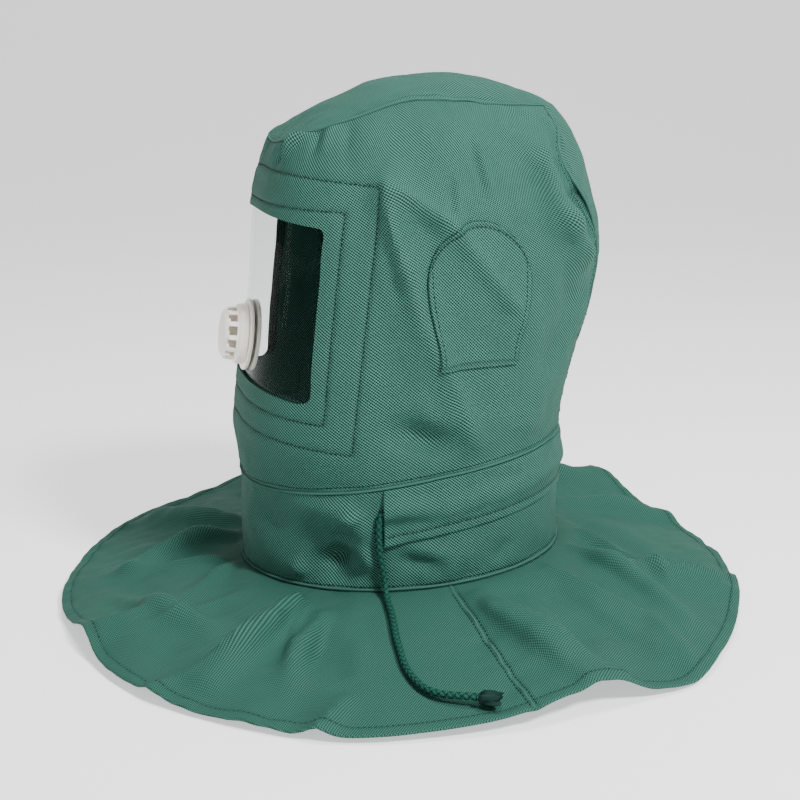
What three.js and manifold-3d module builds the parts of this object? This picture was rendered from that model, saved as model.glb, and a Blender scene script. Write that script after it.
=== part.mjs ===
import * as THREE from 'three';
import Module from 'manifold-3d';
import { mergeVertices } from 'three/addons/utils/BufferGeometryUtils.js';

const wasm = await Module();
wasm.setup();

// Driving sizes in millimetres. Heights are counted from the hem of the cape, +Z is up,
// the window looks along -Y and the wearer's left side is +X.
const clothWall = 1.6;
const pieceGap = 0.3;
const layerGap = 0.6;

const capeRise = 35;
const capeRadius = 268;
const capeSeamAzimuth = 94;
const neckWidth = 221;
const neckDepth = 248;
const neckTilt = 5;

const bandHeight = 81;
const bodyRise = 277;
const bodyDepth = 276;
const bodyWidth = 214;

const windowWidth = 176;
const windowHeight = 122;
const windowSill = 60;
const windowCorner = 7;
const sillDroop = 7;
const lintelDroop = 6;
const frameBorder = 34;
const facingWall = 1.2;
const facingReveal = 1.2;
const visorWall = 0.8;
const visorLap = 9;

const flangeRadius = 26.5;
const flangeWall = 2.6;
const spigotRadius = 16;
const spigotBore = 13.5;
const collarRadius = 22.5;
const cageRadius = 20;
const cageFaceRadius = 15.5;
const cageDepth = 17;
const cageWall = 1.8;
const cageSlots = 12;
const cageSlotDepth = 6.5;

const patchWidth = 77;
const patchHeight = 102;
const patchFoot = 60;
const patchAzimuth = 104.7;
const patchTop = 179;
const patchWall = 1.2;
const patchGap = 1;

const channelHeight = 42;
const channelEnd = 69;
const cordDiameter = 4.6;
const cordTipRadius = 5.6;
const cordTipLength = 16;

// Grid counts shared by pieces that lie on each other
const sideColumns = 20;
const browColumns = 3;
const frontColumns = 16;
const channelColumns = 26;
const degrees = Math.PI / 180;

// Cross sections of the hood body from the neck seam (level 0) to the crown seam (level 1).
// frontHeight, sideHeight and backHeight are shares of bodyRise above the band, ease says how
// fast the height turns from front to side, front and back are shares of bodyDepth, half is a
// share of bodyWidth, frontSquare and backSquare are the corner exponents, end is the azimuth
// of the back seam.
const bodySections = [
  { level: 0.00, frontHeight: -0.065, sideHeight: 0.000, backHeight: 0.050, ease: 1.0,
    front: 0.446, back: 0.442, half: 0.508, frontSquare: 2.15, backSquare: 2.10, end: 161 },
  { level: 0.08, frontHeight: 0.022, sideHeight: 0.076, backHeight: 0.112, ease: 1.2,
    front: 0.460, back: 0.448, half: 0.512, frontSquare: 2.35, backSquare: 2.10, end: 161 },
  { level: 0.25, frontHeight: 0.177, sideHeight: 0.220, backHeight: 0.238, ease: 1.5,
    front: 0.449, back: 0.478, half: 0.505, frontSquare: 2.60, backSquare: 2.15, end: 160 },
  { level: 0.42, frontHeight: 0.332, sideHeight: 0.372, backHeight: 0.386, ease: 1.8,
    front: 0.428, back: 0.527, half: 0.500, frontSquare: 2.70, backSquare: 2.20, end: 160 },
  { level: 0.58, frontHeight: 0.477, sideHeight: 0.527, backHeight: 0.527, ease: 2.0,
    front: 0.410, back: 0.554, half: 0.495, frontSquare: 2.70, backSquare: 2.20, end: 161 },
  { level: 0.73, frontHeight: 0.610, sideHeight: 0.675, backHeight: 0.664, ease: 2.0,
    front: 0.401, back: 0.538, half: 0.477, frontSquare: 2.75, backSquare: 2.30, end: 160 },
  { level: 0.85, frontHeight: 0.715, sideHeight: 0.794, backHeight: 0.780, ease: 2.0,
    front: 0.385, back: 0.504, half: 0.435, frontSquare: 2.80, backSquare: 2.40, end: 157 },
  { level: 0.94, frontHeight: 0.787, sideHeight: 0.884, backHeight: 0.870, ease: 2.0,
    front: 0.361, back: 0.457, half: 0.369, frontSquare: 3.00, backSquare: 2.60, end: 154 },
  { level: 1.00, frontHeight: 0.827, sideHeight: 0.939, backHeight: 0.913, ease: 2.0,
    front: 0.344, back: 0.420, half: 0.290, frontSquare: 3.60, backSquare: 3.00, end: 152.7 },
];

// Ridge of the crown from the brow (along 0) to the back corner (along 1).
// reach is a share of bodyDepth towards the back, height a share of bodyRise above the band.
const crownRidge = [
  { along: 0.00, reach: -0.344, height: 0.827 },
  { along: 0.14, reach: -0.246, height: 0.903 },
  { along: 0.26, reach: -0.163, height: 0.942 },
  { along: 0.40, reach: -0.058, height: 0.982 },
  { along: 0.52, reach: 0.038, height: 0.996 },
  { along: 0.65, reach: 0.138, height: 1.000 },
  { along: 0.82, reach: 0.274, height: 0.973 },
  { along: 0.92, reach: 0.353, height: 0.948 },
  { along: 1.00, reach: 0.420, height: 0.913 },
];

// Folds of the hood body: each runs between two places given by azimuth and level. height and
// spread are shares of bodyWidth, and a negative height is a dent.
const bodyFolds = [
  { azimuth: 70, level: 0.79, toAzimuth: 76, toLevel: 0.60, height: 0.022, spread: 0.060 },
  { azimuth: 76, level: 0.60, toAzimuth: 86, toLevel: 0.34, height: 0.020, spread: 0.080 },
  { azimuth: 88, level: 0.22, toAzimuth: 102, toLevel: 0.06, height: 0.024, spread: 0.070 },
  { azimuth: 72, level: 0.78, toAzimuth: 90, toLevel: 0.70, height: 0.016, spread: 0.060 },
  { azimuth: 96, level: 0.66, toAzimuth: 120, toLevel: 0.46, height: 0.010, spread: 0.100 },
  { azimuth: 76, level: 0.14, toAzimuth: 92, toLevel: 0.10, height: -0.026, spread: 0.060 },
  { azimuth: 132, level: 0.86, toAzimuth: 139, toLevel: 0.70, height: 0.026, spread: 0.050 },
  { azimuth: 139, level: 0.70, toAzimuth: 150, toLevel: 0.58, height: 0.026, spread: 0.050 },
  { azimuth: 148, level: 0.74, toAzimuth: 154, toLevel: 0.64, height: -0.032, spread: 0.045 },
  { azimuth: 138, level: 0.30, toAzimuth: 146, toLevel: 0.44, height: -0.022, spread: 0.070 },
  { azimuth: 128, level: 0.10, toAzimuth: 134, toLevel: 0.22, height: 0.016, spread: 0.060 },
  { azimuth: -72, level: 0.78, toAzimuth: -84, toLevel: 0.46, height: 0.020, spread: 0.060 },
  { azimuth: -84, level: 0.46, toAzimuth: -98, toLevel: 0.10, height: 0.024, spread: 0.065 },
  { azimuth: -76, level: 0.15, toAzimuth: -88, toLevel: 0.10, height: -0.022, spread: 0.060 },
  { azimuth: -130, level: 0.84, toAzimuth: -142, toLevel: 0.60, height: 0.022, spread: 0.055 },
  { azimuth: -140, level: 0.26, toAzimuth: -146, toLevel: 0.44, height: -0.020, spread: 0.070 },
];

// Folds of the neck band, with level 0 at the neck seam and 1 under the hood body.
// height and spread are shares of bandHeight.
const bandFolds = [
  { azimuth: 48, level: 0.86, toAzimuth: 60, toLevel: 0.60, height: 0.060, spread: 0.17 },
  { azimuth: 44, level: 0.50, toAzimuth: 52, toLevel: 0.22, height: -0.080, spread: 0.22 },
  { azimuth: 12, level: 0.60, toAzimuth: 22, toLevel: 0.30, height: 0.035, spread: 0.20 },
  { azimuth: -30, level: 0.70, toAzimuth: -44, toLevel: 0.30, height: -0.055, spread: 0.22 },
  { azimuth: 86, level: 0.12, toAzimuth: 100, toLevel: 0.26, height: 0.028, spread: 0.14 },
];

// Waves of the hem round the cape: reach is a share of capeRadius, lift a share of capeRise
const hemWaves = [
  { azimuth: 0, reach: 0.980, lift: 0.06 },
  { azimuth: 15, reach: 0.965, lift: 0.16 },
  { azimuth: 25, reach: 0.985, lift: 0.07 },
  { azimuth: 38, reach: 1.000, lift: 0.00 },
  { azimuth: 52, reach: 1.005, lift: 0.00 },
  { azimuth: 68, reach: 1.015, lift: 0.00 },
  { azimuth: 80, reach: 0.992, lift: 0.06 },
  { azimuth: 92, reach: 0.980, lift: 0.17 },
  { azimuth: 105, reach: 0.965, lift: 0.27 },
  { azimuth: 112, reach: 0.985, lift: 0.08 },
  { azimuth: 120, reach: 1.018, lift: 0.00 },
  { azimuth: 134, reach: 0.995, lift: 0.03 },
  { azimuth: 148, reach: 0.983, lift: 0.08 },
  { azimuth: 161, reach: 0.985, lift: 0.05 },
  { azimuth: 176, reach: 1.005, lift: 0.06 },
  { azimuth: 194, reach: 1.010, lift: 0.12 },
  { azimuth: 205, reach: 1.020, lift: 0.40 },
  { azimuth: 213, reach: 1.040, lift: 0.75 },
  { azimuth: 224, reach: 1.010, lift: 0.30 },
  { azimuth: 240, reach: 0.985, lift: 0.15 },
  { azimuth: 256, reach: 1.010, lift: 0.38 },
  { azimuth: 270, reach: 0.990, lift: 0.20 },
  { azimuth: 288, reach: 1.012, lift: 0.36 },
  { azimuth: 304, reach: 1.000, lift: 0.20 },
  { azimuth: 322, reach: 1.000, lift: 0.12 },
  { azimuth: 341, reach: 0.988, lift: 0.00 },
];

// Folds of the cape from the neck (reach 0) to the hem (reach 1): height is a share of
// capeRise, spread a share of capeRadius.
const capeFolds = [
  { azimuth: 0, reach: 0.02, toAzimuth: 14, toReach: 0.36, height: 0.12, spread: 0.035 },
  { azimuth: 18, reach: 0.58, toAzimuth: 15, toReach: 1.00, height: 0.16, spread: 0.035 },
  { azimuth: 5, reach: 0.70, toAzimuth: 31, toReach: 0.50, height: 0.10, spread: 0.035 },
  { azimuth: 44, reach: 0.20, toAzimuth: 44, toReach: 0.82, height: 0.18, spread: 0.040 },
  { azimuth: 54, reach: 0.25, toAzimuth: 56, toReach: 0.70, height: 0.14, spread: 0.035 },
  { azimuth: 100, reach: 0.16, toAzimuth: 108, toReach: 0.95, height: 0.22, spread: 0.050 },
  { azimuth: 124, reach: 0.20, toAzimuth: 120, toReach: 0.90, height: -0.10, spread: 0.045 },
  { azimuth: 156, reach: 0.04, toAzimuth: 136, toReach: 0.80, height: 0.18, spread: 0.040 },
  { azimuth: 150, reach: 0.45, toAzimuth: 160, toReach: 1.00, height: 0.20, spread: 0.032 },
  { azimuth: 186, reach: 0.20, toAzimuth: 158, toReach: 0.62, height: -0.12, spread: 0.050 },
  { azimuth: 200, reach: 0.30, toAzimuth: 193, toReach: 0.98, height: 0.20, spread: 0.040 },
  { azimuth: 222, reach: 0.15, toAzimuth: 212, toReach: 0.90, height: 0.22, spread: 0.055 },
  { azimuth: 256, reach: 0.12, toAzimuth: 256, toReach: 0.92, height: 0.20, spread: 0.050 },
  { azimuth: 290, reach: 0.12, toAzimuth: 287, toReach: 0.92, height: 0.20, spread: 0.050 },
  { azimuth: 324, reach: 0.10, toAzimuth: 317, toReach: 0.80, height: 0.20, spread: 0.040 },
  { azimuth: 333, reach: 0.05, toAzimuth: 350, toReach: 0.62, height: 0.22, spread: 0.040 },
];

// Route of a free cord end. The first rows hang in front of the band: azimuth, distance of the
// cord's middle from the neck line and its height. The others lie on the cape: azimuth, share
// of the way from the neck to the hem's radius, and lift towards the thick tip.
const tailHang = [
  [74.2, 2.9, 94.2],
  [72.3, 2.9, 94.2],
  [70.0, 2.9, 93.0],
  [68.2, 3.2, 89.6],
  [67.6, 3.8, 85.0],
  [67.5, 4.3, 78.0],
  [67.7, 4.6, 69.5],
  [68.3, 4.8, 60.0],
  [69.0, 5.2, 52.0],
  [69.5, 5.6, 46.0],
  [70.0, 6.9, 40.9],
  [70.4, 10.0, 36.9],
];
const tailLie = [
  [70.9, 0.105, 0.0],
  [72.0, 0.175, 0.0],
  [73.0, 0.260, 0.0],
  [74.2, 0.430, 0.0],
  [75.0, 0.525, 0.0],
  [75.9, 0.640, 0.0],
  [77.0, 0.724, 0.2],
  [78.8, 0.818, 0.8],
  [80.9, 0.880, 1.8],
  [83.6, 0.922, 3.0],
  [86.2, 0.955, 3.6],
];

// Reading a column of a table with a smooth curve through its rows
function column(table, key, name, at, period) {
  const rows = table.map((row) => [row[key], row[name]]);
  if (period) {
    const first = rows[0];
    const second = rows[1];
    const last = rows[rows.length - 1];
    rows.unshift([last[0] - period, last[1]]);
    rows.push([first[0] + period, first[1]], [second[0] + period, second[1]]);
  }
  const count = rows.length;
  const x = THREE.MathUtils.clamp(at, rows[0][0], rows[count - 1][0]);
  let i = 0;
  while (i < count - 2 && x > rows[i + 1][0]) {
    i += 1;
  }
  const rise = (k) => (rows[k + 1][1] - rows[k][1]) / (rows[k + 1][0] - rows[k][0]);
  const slope = (k) => {
    if (k === 0) {
      return rise(0);
    }
    if (k === count - 1) {
      return rise(count - 2);
    }
    const before = rows[k][0] - rows[k - 1][0];
    const after = rows[k + 1][0] - rows[k][0];
    return (rise(k - 1) * after + rise(k) * before) / (before + after);
  };
  const step = rows[i + 1][0] - rows[i][0];
  const t = (x - rows[i][0]) / step;
  const t2 = t * t;
  const t3 = t2 * t;
  return rows[i][1] * (2 * t3 - 3 * t2 + 1) + step * slope(i) * (t3 - 2 * t2 + t)
    + rows[i + 1][1] * (3 * t2 - 2 * t3) + step * slope(i + 1) * (t3 - t2);
}

function smoothstep(value, from, to) {
  return THREE.MathUtils.smoothstep(value, from, to);
}

// Height of the folds of a table at one place. across and up turn a step in azimuth and in
// level into lengths.
function foldHeight(folds, azimuth, level, across, up, size, levelName) {
  let sum = 0;
  const ends = { level: 'toLevel', reach: 'toReach' };
  for (const fold of folds) {
    const runA = (fold.toAzimuth - fold.azimuth) * across;
    const runL = (fold[ends[levelName]] - fold[levelName]) * up;
    let turn = azimuth - fold.azimuth;
    turn -= 360 * Math.round(turn / 360);
    const a = turn * across;
    const l = (level - fold[levelName]) * up;
    const share = THREE.MathUtils.clamp((a * runA + l * runL) / (runA * runA + runL * runL), 0, 1);
    const away = Math.hypot(a - share * runA, l - share * runL) / (fold.spread * size);
    sum += fold.height * Math.exp(-away * away);
  }
  return sum;
}

// Hood body: the smooth sections with the folds on them
const neckSide = capeRise + bandHeight;

function bodyBase(azimuth, level) {
  const turn = azimuth * degrees;
  const c = Math.cos(turn);
  const s = Math.abs(Math.sin(turn));
  const read = (name) => column(bodySections, 'level', name, level);
  const ease = read('ease');
  const frontShare = Math.max(c, 0) ** ease;
  const backShare = Math.max(-c, 0) ** ease;
  const sideShare = 1 - frontShare - backShare;
  const height = frontShare * read('frontHeight') + sideShare * read('sideHeight')
    + backShare * read('backHeight');
  const reach = bodyDepth * (c > 0 ? read('front') : read('back'));
  const power = c > 0 ? read('frontSquare') : read('backSquare');
  const half = bodyWidth * read('half');
  const radius = ((s / half) ** power + (Math.abs(c) / reach) ** power) ** (-1 / power);
  return new THREE.Vector3(radius * Math.sin(turn), -radius * c, neckSide + bodyRise * height);
}

function backSeam(level) {
  return column(bodySections, 'level', 'end', level);
}

function bodyPoint(azimuth, level) {
  const point = bodyBase(azimuth, level);
  const end = backSeam(level);
  const edges = smoothstep(level, 0.01, 0.10) * (1 - smoothstep(level, 0.90, 0.99))
    * (1 - smoothstep(Math.abs(azimuth), end - 14, end - 3));
  const across = bodyWidth * 0.5 * degrees;
  const lift = bodyWidth * edges
    * foldHeight(bodyFolds, azimuth, level, across, bodyRise, bodyWidth, 'level');
  const out = new THREE.Vector3(point.x, point.y, 0).normalize();
  return point.addScaledVector(out, lift);
}

function normalOf(surface, a, b, stepA, stepB) {
  const da = surface(a + stepA, b).sub(surface(a - stepA, b));
  const db = surface(a, b + stepB).sub(surface(a, b - stepB));
  return da.cross(db).normalize();
}

// Level of the body at a height, at one azimuth
function levelAt(azimuth, height) {
  let low = 0;
  let high = 1;
  for (let i = 0; i < 30; i += 1) {
    const middle = (low + high) / 2;
    if (bodyBase(azimuth, middle).z < height) {
      low = middle;
    } else {
      high = middle;
    }
  }
  return (low + high) / 2;
}

// Crown gusset: its sides follow the crown seam and then the back seam. Stations 0 to
// crownSteps lie on the crown, the rest go down the back.
const bodyLevels = [0, 0.05, 0.11, 0.17, 0.24, 0.31, 0.38, 0.45, 0.52, 0.59, 0.66, 0.73, 0.79,
  0.85, 0.90, 0.95, 1];
const crownSteps = sideColumns - browColumns;
const backSteps = bodyLevels.length - 1;
const gussetSteps = crownSteps + backSteps;

function gussetEdge(station) {
  if (station <= crownSteps) {
    return bodyBase((browColumns + station) / sideColumns * backSeam(1), 1);
  }
  const place = backSteps - (station - crownSteps);
  const low = Math.floor(place);
  const high = Math.min(low + 1, backSteps);
  const level = THREE.MathUtils.lerp(bodyLevels[low], bodyLevels[high], place - low);
  return bodyBase(backSeam(level), level);
}

function gussetRidge(station) {
  if (station <= crownSteps) {
    const along = station / crownSteps;
    const reach = column(crownRidge, 'along', 'reach', along);
    const height = column(crownRidge, 'along', 'height', along);
    return new THREE.Vector3(0, bodyDepth * reach, neckSide + bodyRise * height);
  }
  const place = backSteps - (station - crownSteps);
  const low = Math.floor(place);
  const high = Math.min(low + 1, backSteps);
  const level = THREE.MathUtils.lerp(bodyLevels[low], bodyLevels[high], place - low);
  return bodyBase(180, level);
}

function gussetPoint(across, station) {
  const at = THREE.MathUtils.clamp(station, 0, gussetSteps);
  const edge = gussetEdge(at);
  const ridge = gussetRidge(at);
  const arch = 1 - across * across;
  const point = new THREE.Vector3(edge.x * across, edge.y, edge.z);
  point.y += (ridge.y - edge.y) * arch;
  point.z += (ridge.z - edge.z) * arch;
  const browShare = 1 - smoothstep(at, 0, 3);
  if (browShare > 0) {
    const brow = bodyBase(across * browColumns / sideColumns * backSeam(1), 1);
    const corner = gussetEdge(0);
    const middle = gussetRidge(0);
    point.x += browShare * (brow.x - corner.x * across);
    point.y += browShare * (brow.y - (corner.y + (middle.y - corner.y) * arch));
    point.z += browShare * (brow.z - (corner.z + (middle.z - corner.z) * arch));
  }
  return point;
}

function gussetNormal(across, station) {
  const a = THREE.MathUtils.clamp(across, -0.98, 0.98);
  const s = THREE.MathUtils.clamp(station, 0.05, gussetSteps - 0.05);
  return normalOf(gussetPoint, a, s, 0.02, 0.05);
}

// Shared edge directions, so that two cloths meet in a mitre along a seam
function flatNormal(normal) {
  return new THREE.Vector3(normal.x, normal.y, 0).normalize();
}

function bodyNormal(azimuth, level) {
  const l = THREE.MathUtils.clamp(level, 0.004, 0.996);
  return normalOf(bodyPoint, azimuth, l, 0.5, 0.004);
}

function crownSeamNormal(position) {
  const azimuth = position * backSeam(1);
  const column = Math.abs(position) * sideColumns;
  const side = Math.sign(position) || 1;
  const across = column < browColumns ? position * sideColumns / browColumns : side;
  const station = column < browColumns ? 0 : column - browColumns;
  return bodyNormal(azimuth, 1).add(gussetNormal(across, station)).normalize();
}

function backSeamNormal(side, level) {
  let place = 0;
  while (place < backSteps - 1 && level > bodyLevels[place + 1]) {
    place += 1;
  }
  const share = (level - bodyLevels[place]) / (bodyLevels[place + 1] - bodyLevels[place]);
  const station = gussetSteps - place - share;
  const end = side * backSeam(level);
  return bodyNormal(end, level).add(gussetNormal(side, station)).normalize();
}

// Neck band between the neck seam (level 0) and the body's lower edge (level 1)
function neckPoint(azimuth) {
  const turn = azimuth * degrees;
  const s = Math.sin(turn);
  const c = Math.cos(turn);
  const radius = 1 / Math.hypot(s / (neckWidth / 2), c / (neckDepth / 2));
  return new THREE.Vector3(radius * s, -radius * c, capeRise - neckTilt * c);
}

function bandPoint(azimuth, level) {
  const low = neckPoint(azimuth);
  const high = bodyBase(azimuth, 0);
  const point = low.clone().lerp(high, level);
  const across = neckWidth / 2 * degrees;
  const fade = smoothstep(level, 0, 0.14) * (1 - smoothstep(level, 0.86, 1));
  const lift = fade * bandHeight
    * foldHeight(bandFolds, azimuth, level, across, bandHeight, bandHeight, 'level');
  return point.addScaledVector(new THREE.Vector3(point.x, point.y, 0).normalize(), lift);
}

function bandNormal(azimuth, level) {
  const l = THREE.MathUtils.clamp(level, 0.01, 0.99);
  return flatNormal(normalOf(bandPoint, azimuth, l, 0.5, 0.01));
}

// Cape from under the band (reach 0) to the hem (reach 1)
function capePoint(azimuth, reach) {
  const turn = azimuth * degrees;
  const around = ((azimuth % 360) + 360) % 360;
  const inner = neckPoint(azimuth);
  inner.addScaledVector(new THREE.Vector3(inner.x, inner.y, 0).normalize(), -clothWall);
  const hem = capeRadius * column(hemWaves, 'azimuth', 'reach', around, 360);
  const lift = capeRise * column(hemWaves, 'azimuth', 'lift', around, 360);
  const outer = new THREE.Vector3(hem * Math.sin(turn), -hem * Math.cos(turn), clothWall + lift);
  const point = inner.lerp(outer, reach);
  const across = capeRadius * 0.7 * degrees;
  const run = capeRadius - neckDepth / 2;
  const fade = smoothstep(reach, 0.03, 0.25);
  point.z -= lift * reach * (1 - reach);
  point.z += fade * capeRise
    * foldHeight(capeFolds, azimuth, reach, across, run, capeRadius, 'reach');
  return point;
}

function capeNormal(azimuth, reach) {
  const r = THREE.MathUtils.clamp(reach, 0.01, 0.99);
  return normalOf(capePoint, azimuth, r, 0.5, 0.01).negate();
}

// A closed wall between an outer grid of points and the same grid moved inwards
function wallFromGrid(outer, inner, closed) {
  const rows = outer.length;
  const columns = outer[0].length;
  const positions = [];
  for (const grid of [outer, inner]) {
    for (const row of grid) {
      for (const p of row) {
        positions.push(p.x, p.y, p.z);
      }
    }
  }
  const faces = [];
  const half = rows * columns;
  const at = (r, c) => r * columns + (c % columns);
  const quad = (a, b, c, d) => faces.push(a, b, c, a, c, d);
  const spans = closed ? columns : columns - 1;
  for (let r = 0; r < rows - 1; r += 1) {
    for (let c = 0; c < spans; c += 1) {
      quad(at(r, c), at(r, c + 1), at(r + 1, c + 1), at(r + 1, c));
      faces.push(half + at(r, c), half + at(r + 1, c + 1), half + at(r, c + 1));
      faces.push(half + at(r, c), half + at(r + 1, c), half + at(r + 1, c + 1));
    }
  }
  for (let c = 0; c < spans; c += 1) {
    quad(at(0, c + 1), at(0, c), half + at(0, c), half + at(0, c + 1));
    quad(at(rows - 1, c), at(rows - 1, c + 1), half + at(rows - 1, c + 1), half + at(rows - 1, c));
  }
  if (!closed) {
    for (let r = 0; r < rows - 1; r += 1) {
      quad(at(r, 0), at(r + 1, 0), half + at(r + 1, 0), half + at(r, 0));
      quad(at(r + 1, columns - 1), at(r, columns - 1), half + at(r, columns - 1),
        half + at(r + 1, columns - 1));
    }
  }
  const geometry = new THREE.BufferGeometry();
  geometry.setAttribute('position', new THREE.Float32BufferAttribute(positions, 3));
  geometry.setIndex(faces);
  return facesOut(geometry);
}

function signedVolume(geometry) {
  const p = geometry.getAttribute('position');
  const index = geometry.getIndex();
  const a = new THREE.Vector3();
  const b = new THREE.Vector3();
  const c = new THREE.Vector3();
  let sum = 0;
  for (let i = 0; i < index.count; i += 3) {
    a.fromBufferAttribute(p, index.getX(i));
    b.fromBufferAttribute(p, index.getX(i + 1));
    c.fromBufferAttribute(p, index.getX(i + 2));
    sum += a.dot(b.cross(c)) / 6;
  }
  return sum;
}

function facesOut(geometry) {
  if (signedVolume(geometry) < 0) {
    const list = Array.from(geometry.getIndex().array);
    for (let i = 0; i < list.length; i += 3) {
      [list[i + 1], list[i + 2]] = [list[i + 2], list[i + 1]];
    }
    geometry.setIndex(list);
  }
  return geometry;
}

function cloth(pointAt, normalAt, across, up, wall, depth, closed) {
  const outer = [];
  const inner = [];
  for (const level of up) {
    const outerRow = [];
    const innerRow = [];
    for (const place of across) {
      const normal = normalAt(place, level);
      const point = pointAt(place, level).addScaledVector(normal, -depth);
      outerRow.push(point);
      innerRow.push(point.clone().addScaledVector(normal, -wall));
    }
    outer.push(outerRow);
    inner.push(innerRow);
  }
  return wallFromGrid(outer, inner, closed);
}

// Joining and cutting of closed meshes
function solidOf(geometry) {
  const plain = geometry.clone();
  plain.deleteAttribute('normal');
  plain.deleteAttribute('uv');
  const merged = mergeVertices(plain, 1e-4);
  return new wasm.Manifold(new wasm.Mesh({
    numProp: 3,
    vertProperties: new Float32Array(merged.getAttribute('position').array),
    triVerts: new Uint32Array(merged.getIndex().array),
  }));
}

function geometryOf(solid) {
  const mesh = solid.getMesh();
  const geometry = new THREE.BufferGeometry();
  geometry.setAttribute('position', new THREE.Float32BufferAttribute(mesh.vertProperties, 3));
  geometry.setIndex(Array.from(mesh.triVerts));
  return geometry;
}

function steps(from, to, count) {
  return Array.from({ length: count + 1 }, (unused, i) => from + (to - from) * i / count);
}

// Opening of the window, cut straight through the front
function windowCutter(inset) {
  const half = windowWidth / 2 - inset;
  const low = neckSide + windowSill + inset;
  const high = neckSide + windowSill + windowHeight - inset;
  const r = windowCorner;
  const sill = low - sillDroop;
  const lintel = high - lintelDroop;
  const shape = new THREE.Shape();
  shape.moveTo(-half, sill + r);
  shape.quadraticCurveTo(-half, sill, -half + r, sill);
  shape.quadraticCurveTo(0, low + sillDroop, half - r, sill);
  shape.quadraticCurveTo(half, sill, half, sill + r);
  shape.lineTo(half, lintel - r);
  shape.quadraticCurveTo(half, lintel, half - r, lintel);
  shape.quadraticCurveTo(0, high + lintelDroop, -half + r, lintel);
  shape.quadraticCurveTo(-half, lintel, -half, lintel - r);
  shape.closePath();
  const reach = bodyDepth * 0.7;
  const cutter = new THREE.ExtrudeGeometry(shape, {
    depth: reach, bevelEnabled: false, curveSegments: 6,
  });
  cutter.rotateX(Math.PI / 2);
  cutter.translate(0, -windowWidth * 0.2, 0);
  return solidOf(facesOut(mergeVertices(stripped(cutter), 1e-4)));
}

function stripped(geometry) {
  geometry.deleteAttribute('normal');
  geometry.deleteAttribute('uv');
  return geometry;
}

// Hood body
function hoodWrap() {
  const seamTurn = pieceGap / 2 / (bodyDepth * 0.5) / degrees;
  const seamRise = pieceGap / 2 / bodyRise;
  const places = steps(-1, 1, 2 * sideColumns);
  const levels = bodyLevels.slice();
  levels[0] = seamRise;
  levels[levels.length - 1] = 1 - seamRise;
  const point = (place, level) => {
    const end = backSeam(level) - seamTurn;
    return bodyPoint(place * end, level);
  };
  const normal = (place, level) => {
    if (level >= 1 - seamRise) {
      return crownSeamNormal(place);
    }
    const seam = Math.abs(place) === 1;
    const free = seam ? backSeamNormal(place, level) : bodyNormal(place * backSeam(level), level);
    return level <= seamRise ? flatNormal(free) : free;
  };
  const shell = cloth(point, normal, places, levels, clothWall, 0, false);
  return geometryOf(solidOf(shell).subtract(windowCutter(0)));
}

function crownGusset() {
  const places = steps(-1, 1, 2 * browColumns);
  const stations = steps(0, gussetSteps, gussetSteps);
  const seamShare = (station) => 1 - pieceGap / 2 / gussetEdge(station).x;
  const frontShift = pieceGap / 2 / (bodyDepth * 0.05);
  const point = (place, station) => {
    let at = station;
    if (station === 0) {
      at = frontShift;
    }
    const p = gussetPoint(place * seamShare(station), at);
    if (station === gussetSteps) {
      p.z += pieceGap / 2;
    }
    return p;
  };
  const normal = (place, station) => {
    if (station === 0) {
      return crownSeamNormal(place * browColumns / sideColumns);
    }
    if (Math.abs(place) === 1 && station <= crownSteps) {
      return crownSeamNormal(place * (browColumns + station) / sideColumns);
    }
    const seam = Math.abs(place) === 1;
    const free = seam ? backSeamNormal(place, bodyLevels[gussetSteps - station])
      : gussetNormal(place, station);
    return station === gussetSteps ? flatNormal(free) : free;
  };
  return cloth(point, normal, places, stations, clothWall, 0, false);
}

// Sheets behind the window, on the same columns as the body
function sheetBehindWindow(border, rise, wall, depth) {
  const half = windowWidth / 2 + border;
  let columnsOut = 1;
  const placeOf = (k) => k / sideColumns * backSeam(0.5);
  while (bodyBase(placeOf(columnsOut), 0.5).x < half && columnsOut < sideColumns / 2) {
    columnsOut += 1;
  }
  const low = neckSide + windowSill - sillDroop - rise;
  const high = neckSide + windowSill + windowHeight + rise;
  const places = steps(-columnsOut, columnsOut, 2 * columnsOut).map((k) => k / sideColumns);
  const levels = steps(0, 1, 6);
  const levelOf = (share) => levelAt(0, THREE.MathUtils.lerp(low, high, share));
  const point = (place, share) => {
    const level = levelOf(share);
    return bodyPoint(place * backSeam(level), level);
  };
  const normal = (place, share) => {
    const level = levelOf(share);
    return bodyNormal(place * backSeam(level), level);
  };
  return cloth(point, normal, places, levels, wall, depth, false);
}

// Valve frame: its axis leaves the visor at right angles at the front middle
const visorDepth = clothWall + layerGap;
const valveHeight = neckSide + windowSill + facingReveal + flangeRadius + 2 * pieceGap;
const valveLevel = levelAt(0, valveHeight);
const valveNormal = bodyNormal(0, valveLevel);
const valveSeat = bodyPoint(0, valveLevel).addScaledVector(valveNormal, -visorDepth);
const visorSag = 1.3;

function onValveAxis(geometry) {
  const turn = new THREE.Quaternion().setFromUnitVectors(new THREE.Vector3(0, 1, 0), valveNormal);
  geometry.applyQuaternion(turn);
  geometry.translate(valveSeat.x, valveSeat.y, valveSeat.z);
  return geometry;
}

function turned(profile, segments) {
  const points = profile.map(([radius, height]) => new THREE.Vector2(radius, height));
  const lathe = mergeVertices(stripped(new THREE.LatheGeometry(points, segments)), 1e-4);
  const index = lathe.getIndex().array;
  const kept = [];
  for (let i = 0; i < index.length; i += 3) {
    const [a, b, c] = [index[i], index[i + 1], index[i + 2]];
    if (a !== b && b !== c && a !== c) {
      kept.push(a, b, c);
    }
  }
  lathe.setIndex(kept);
  return facesOut(lathe);
}

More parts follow.
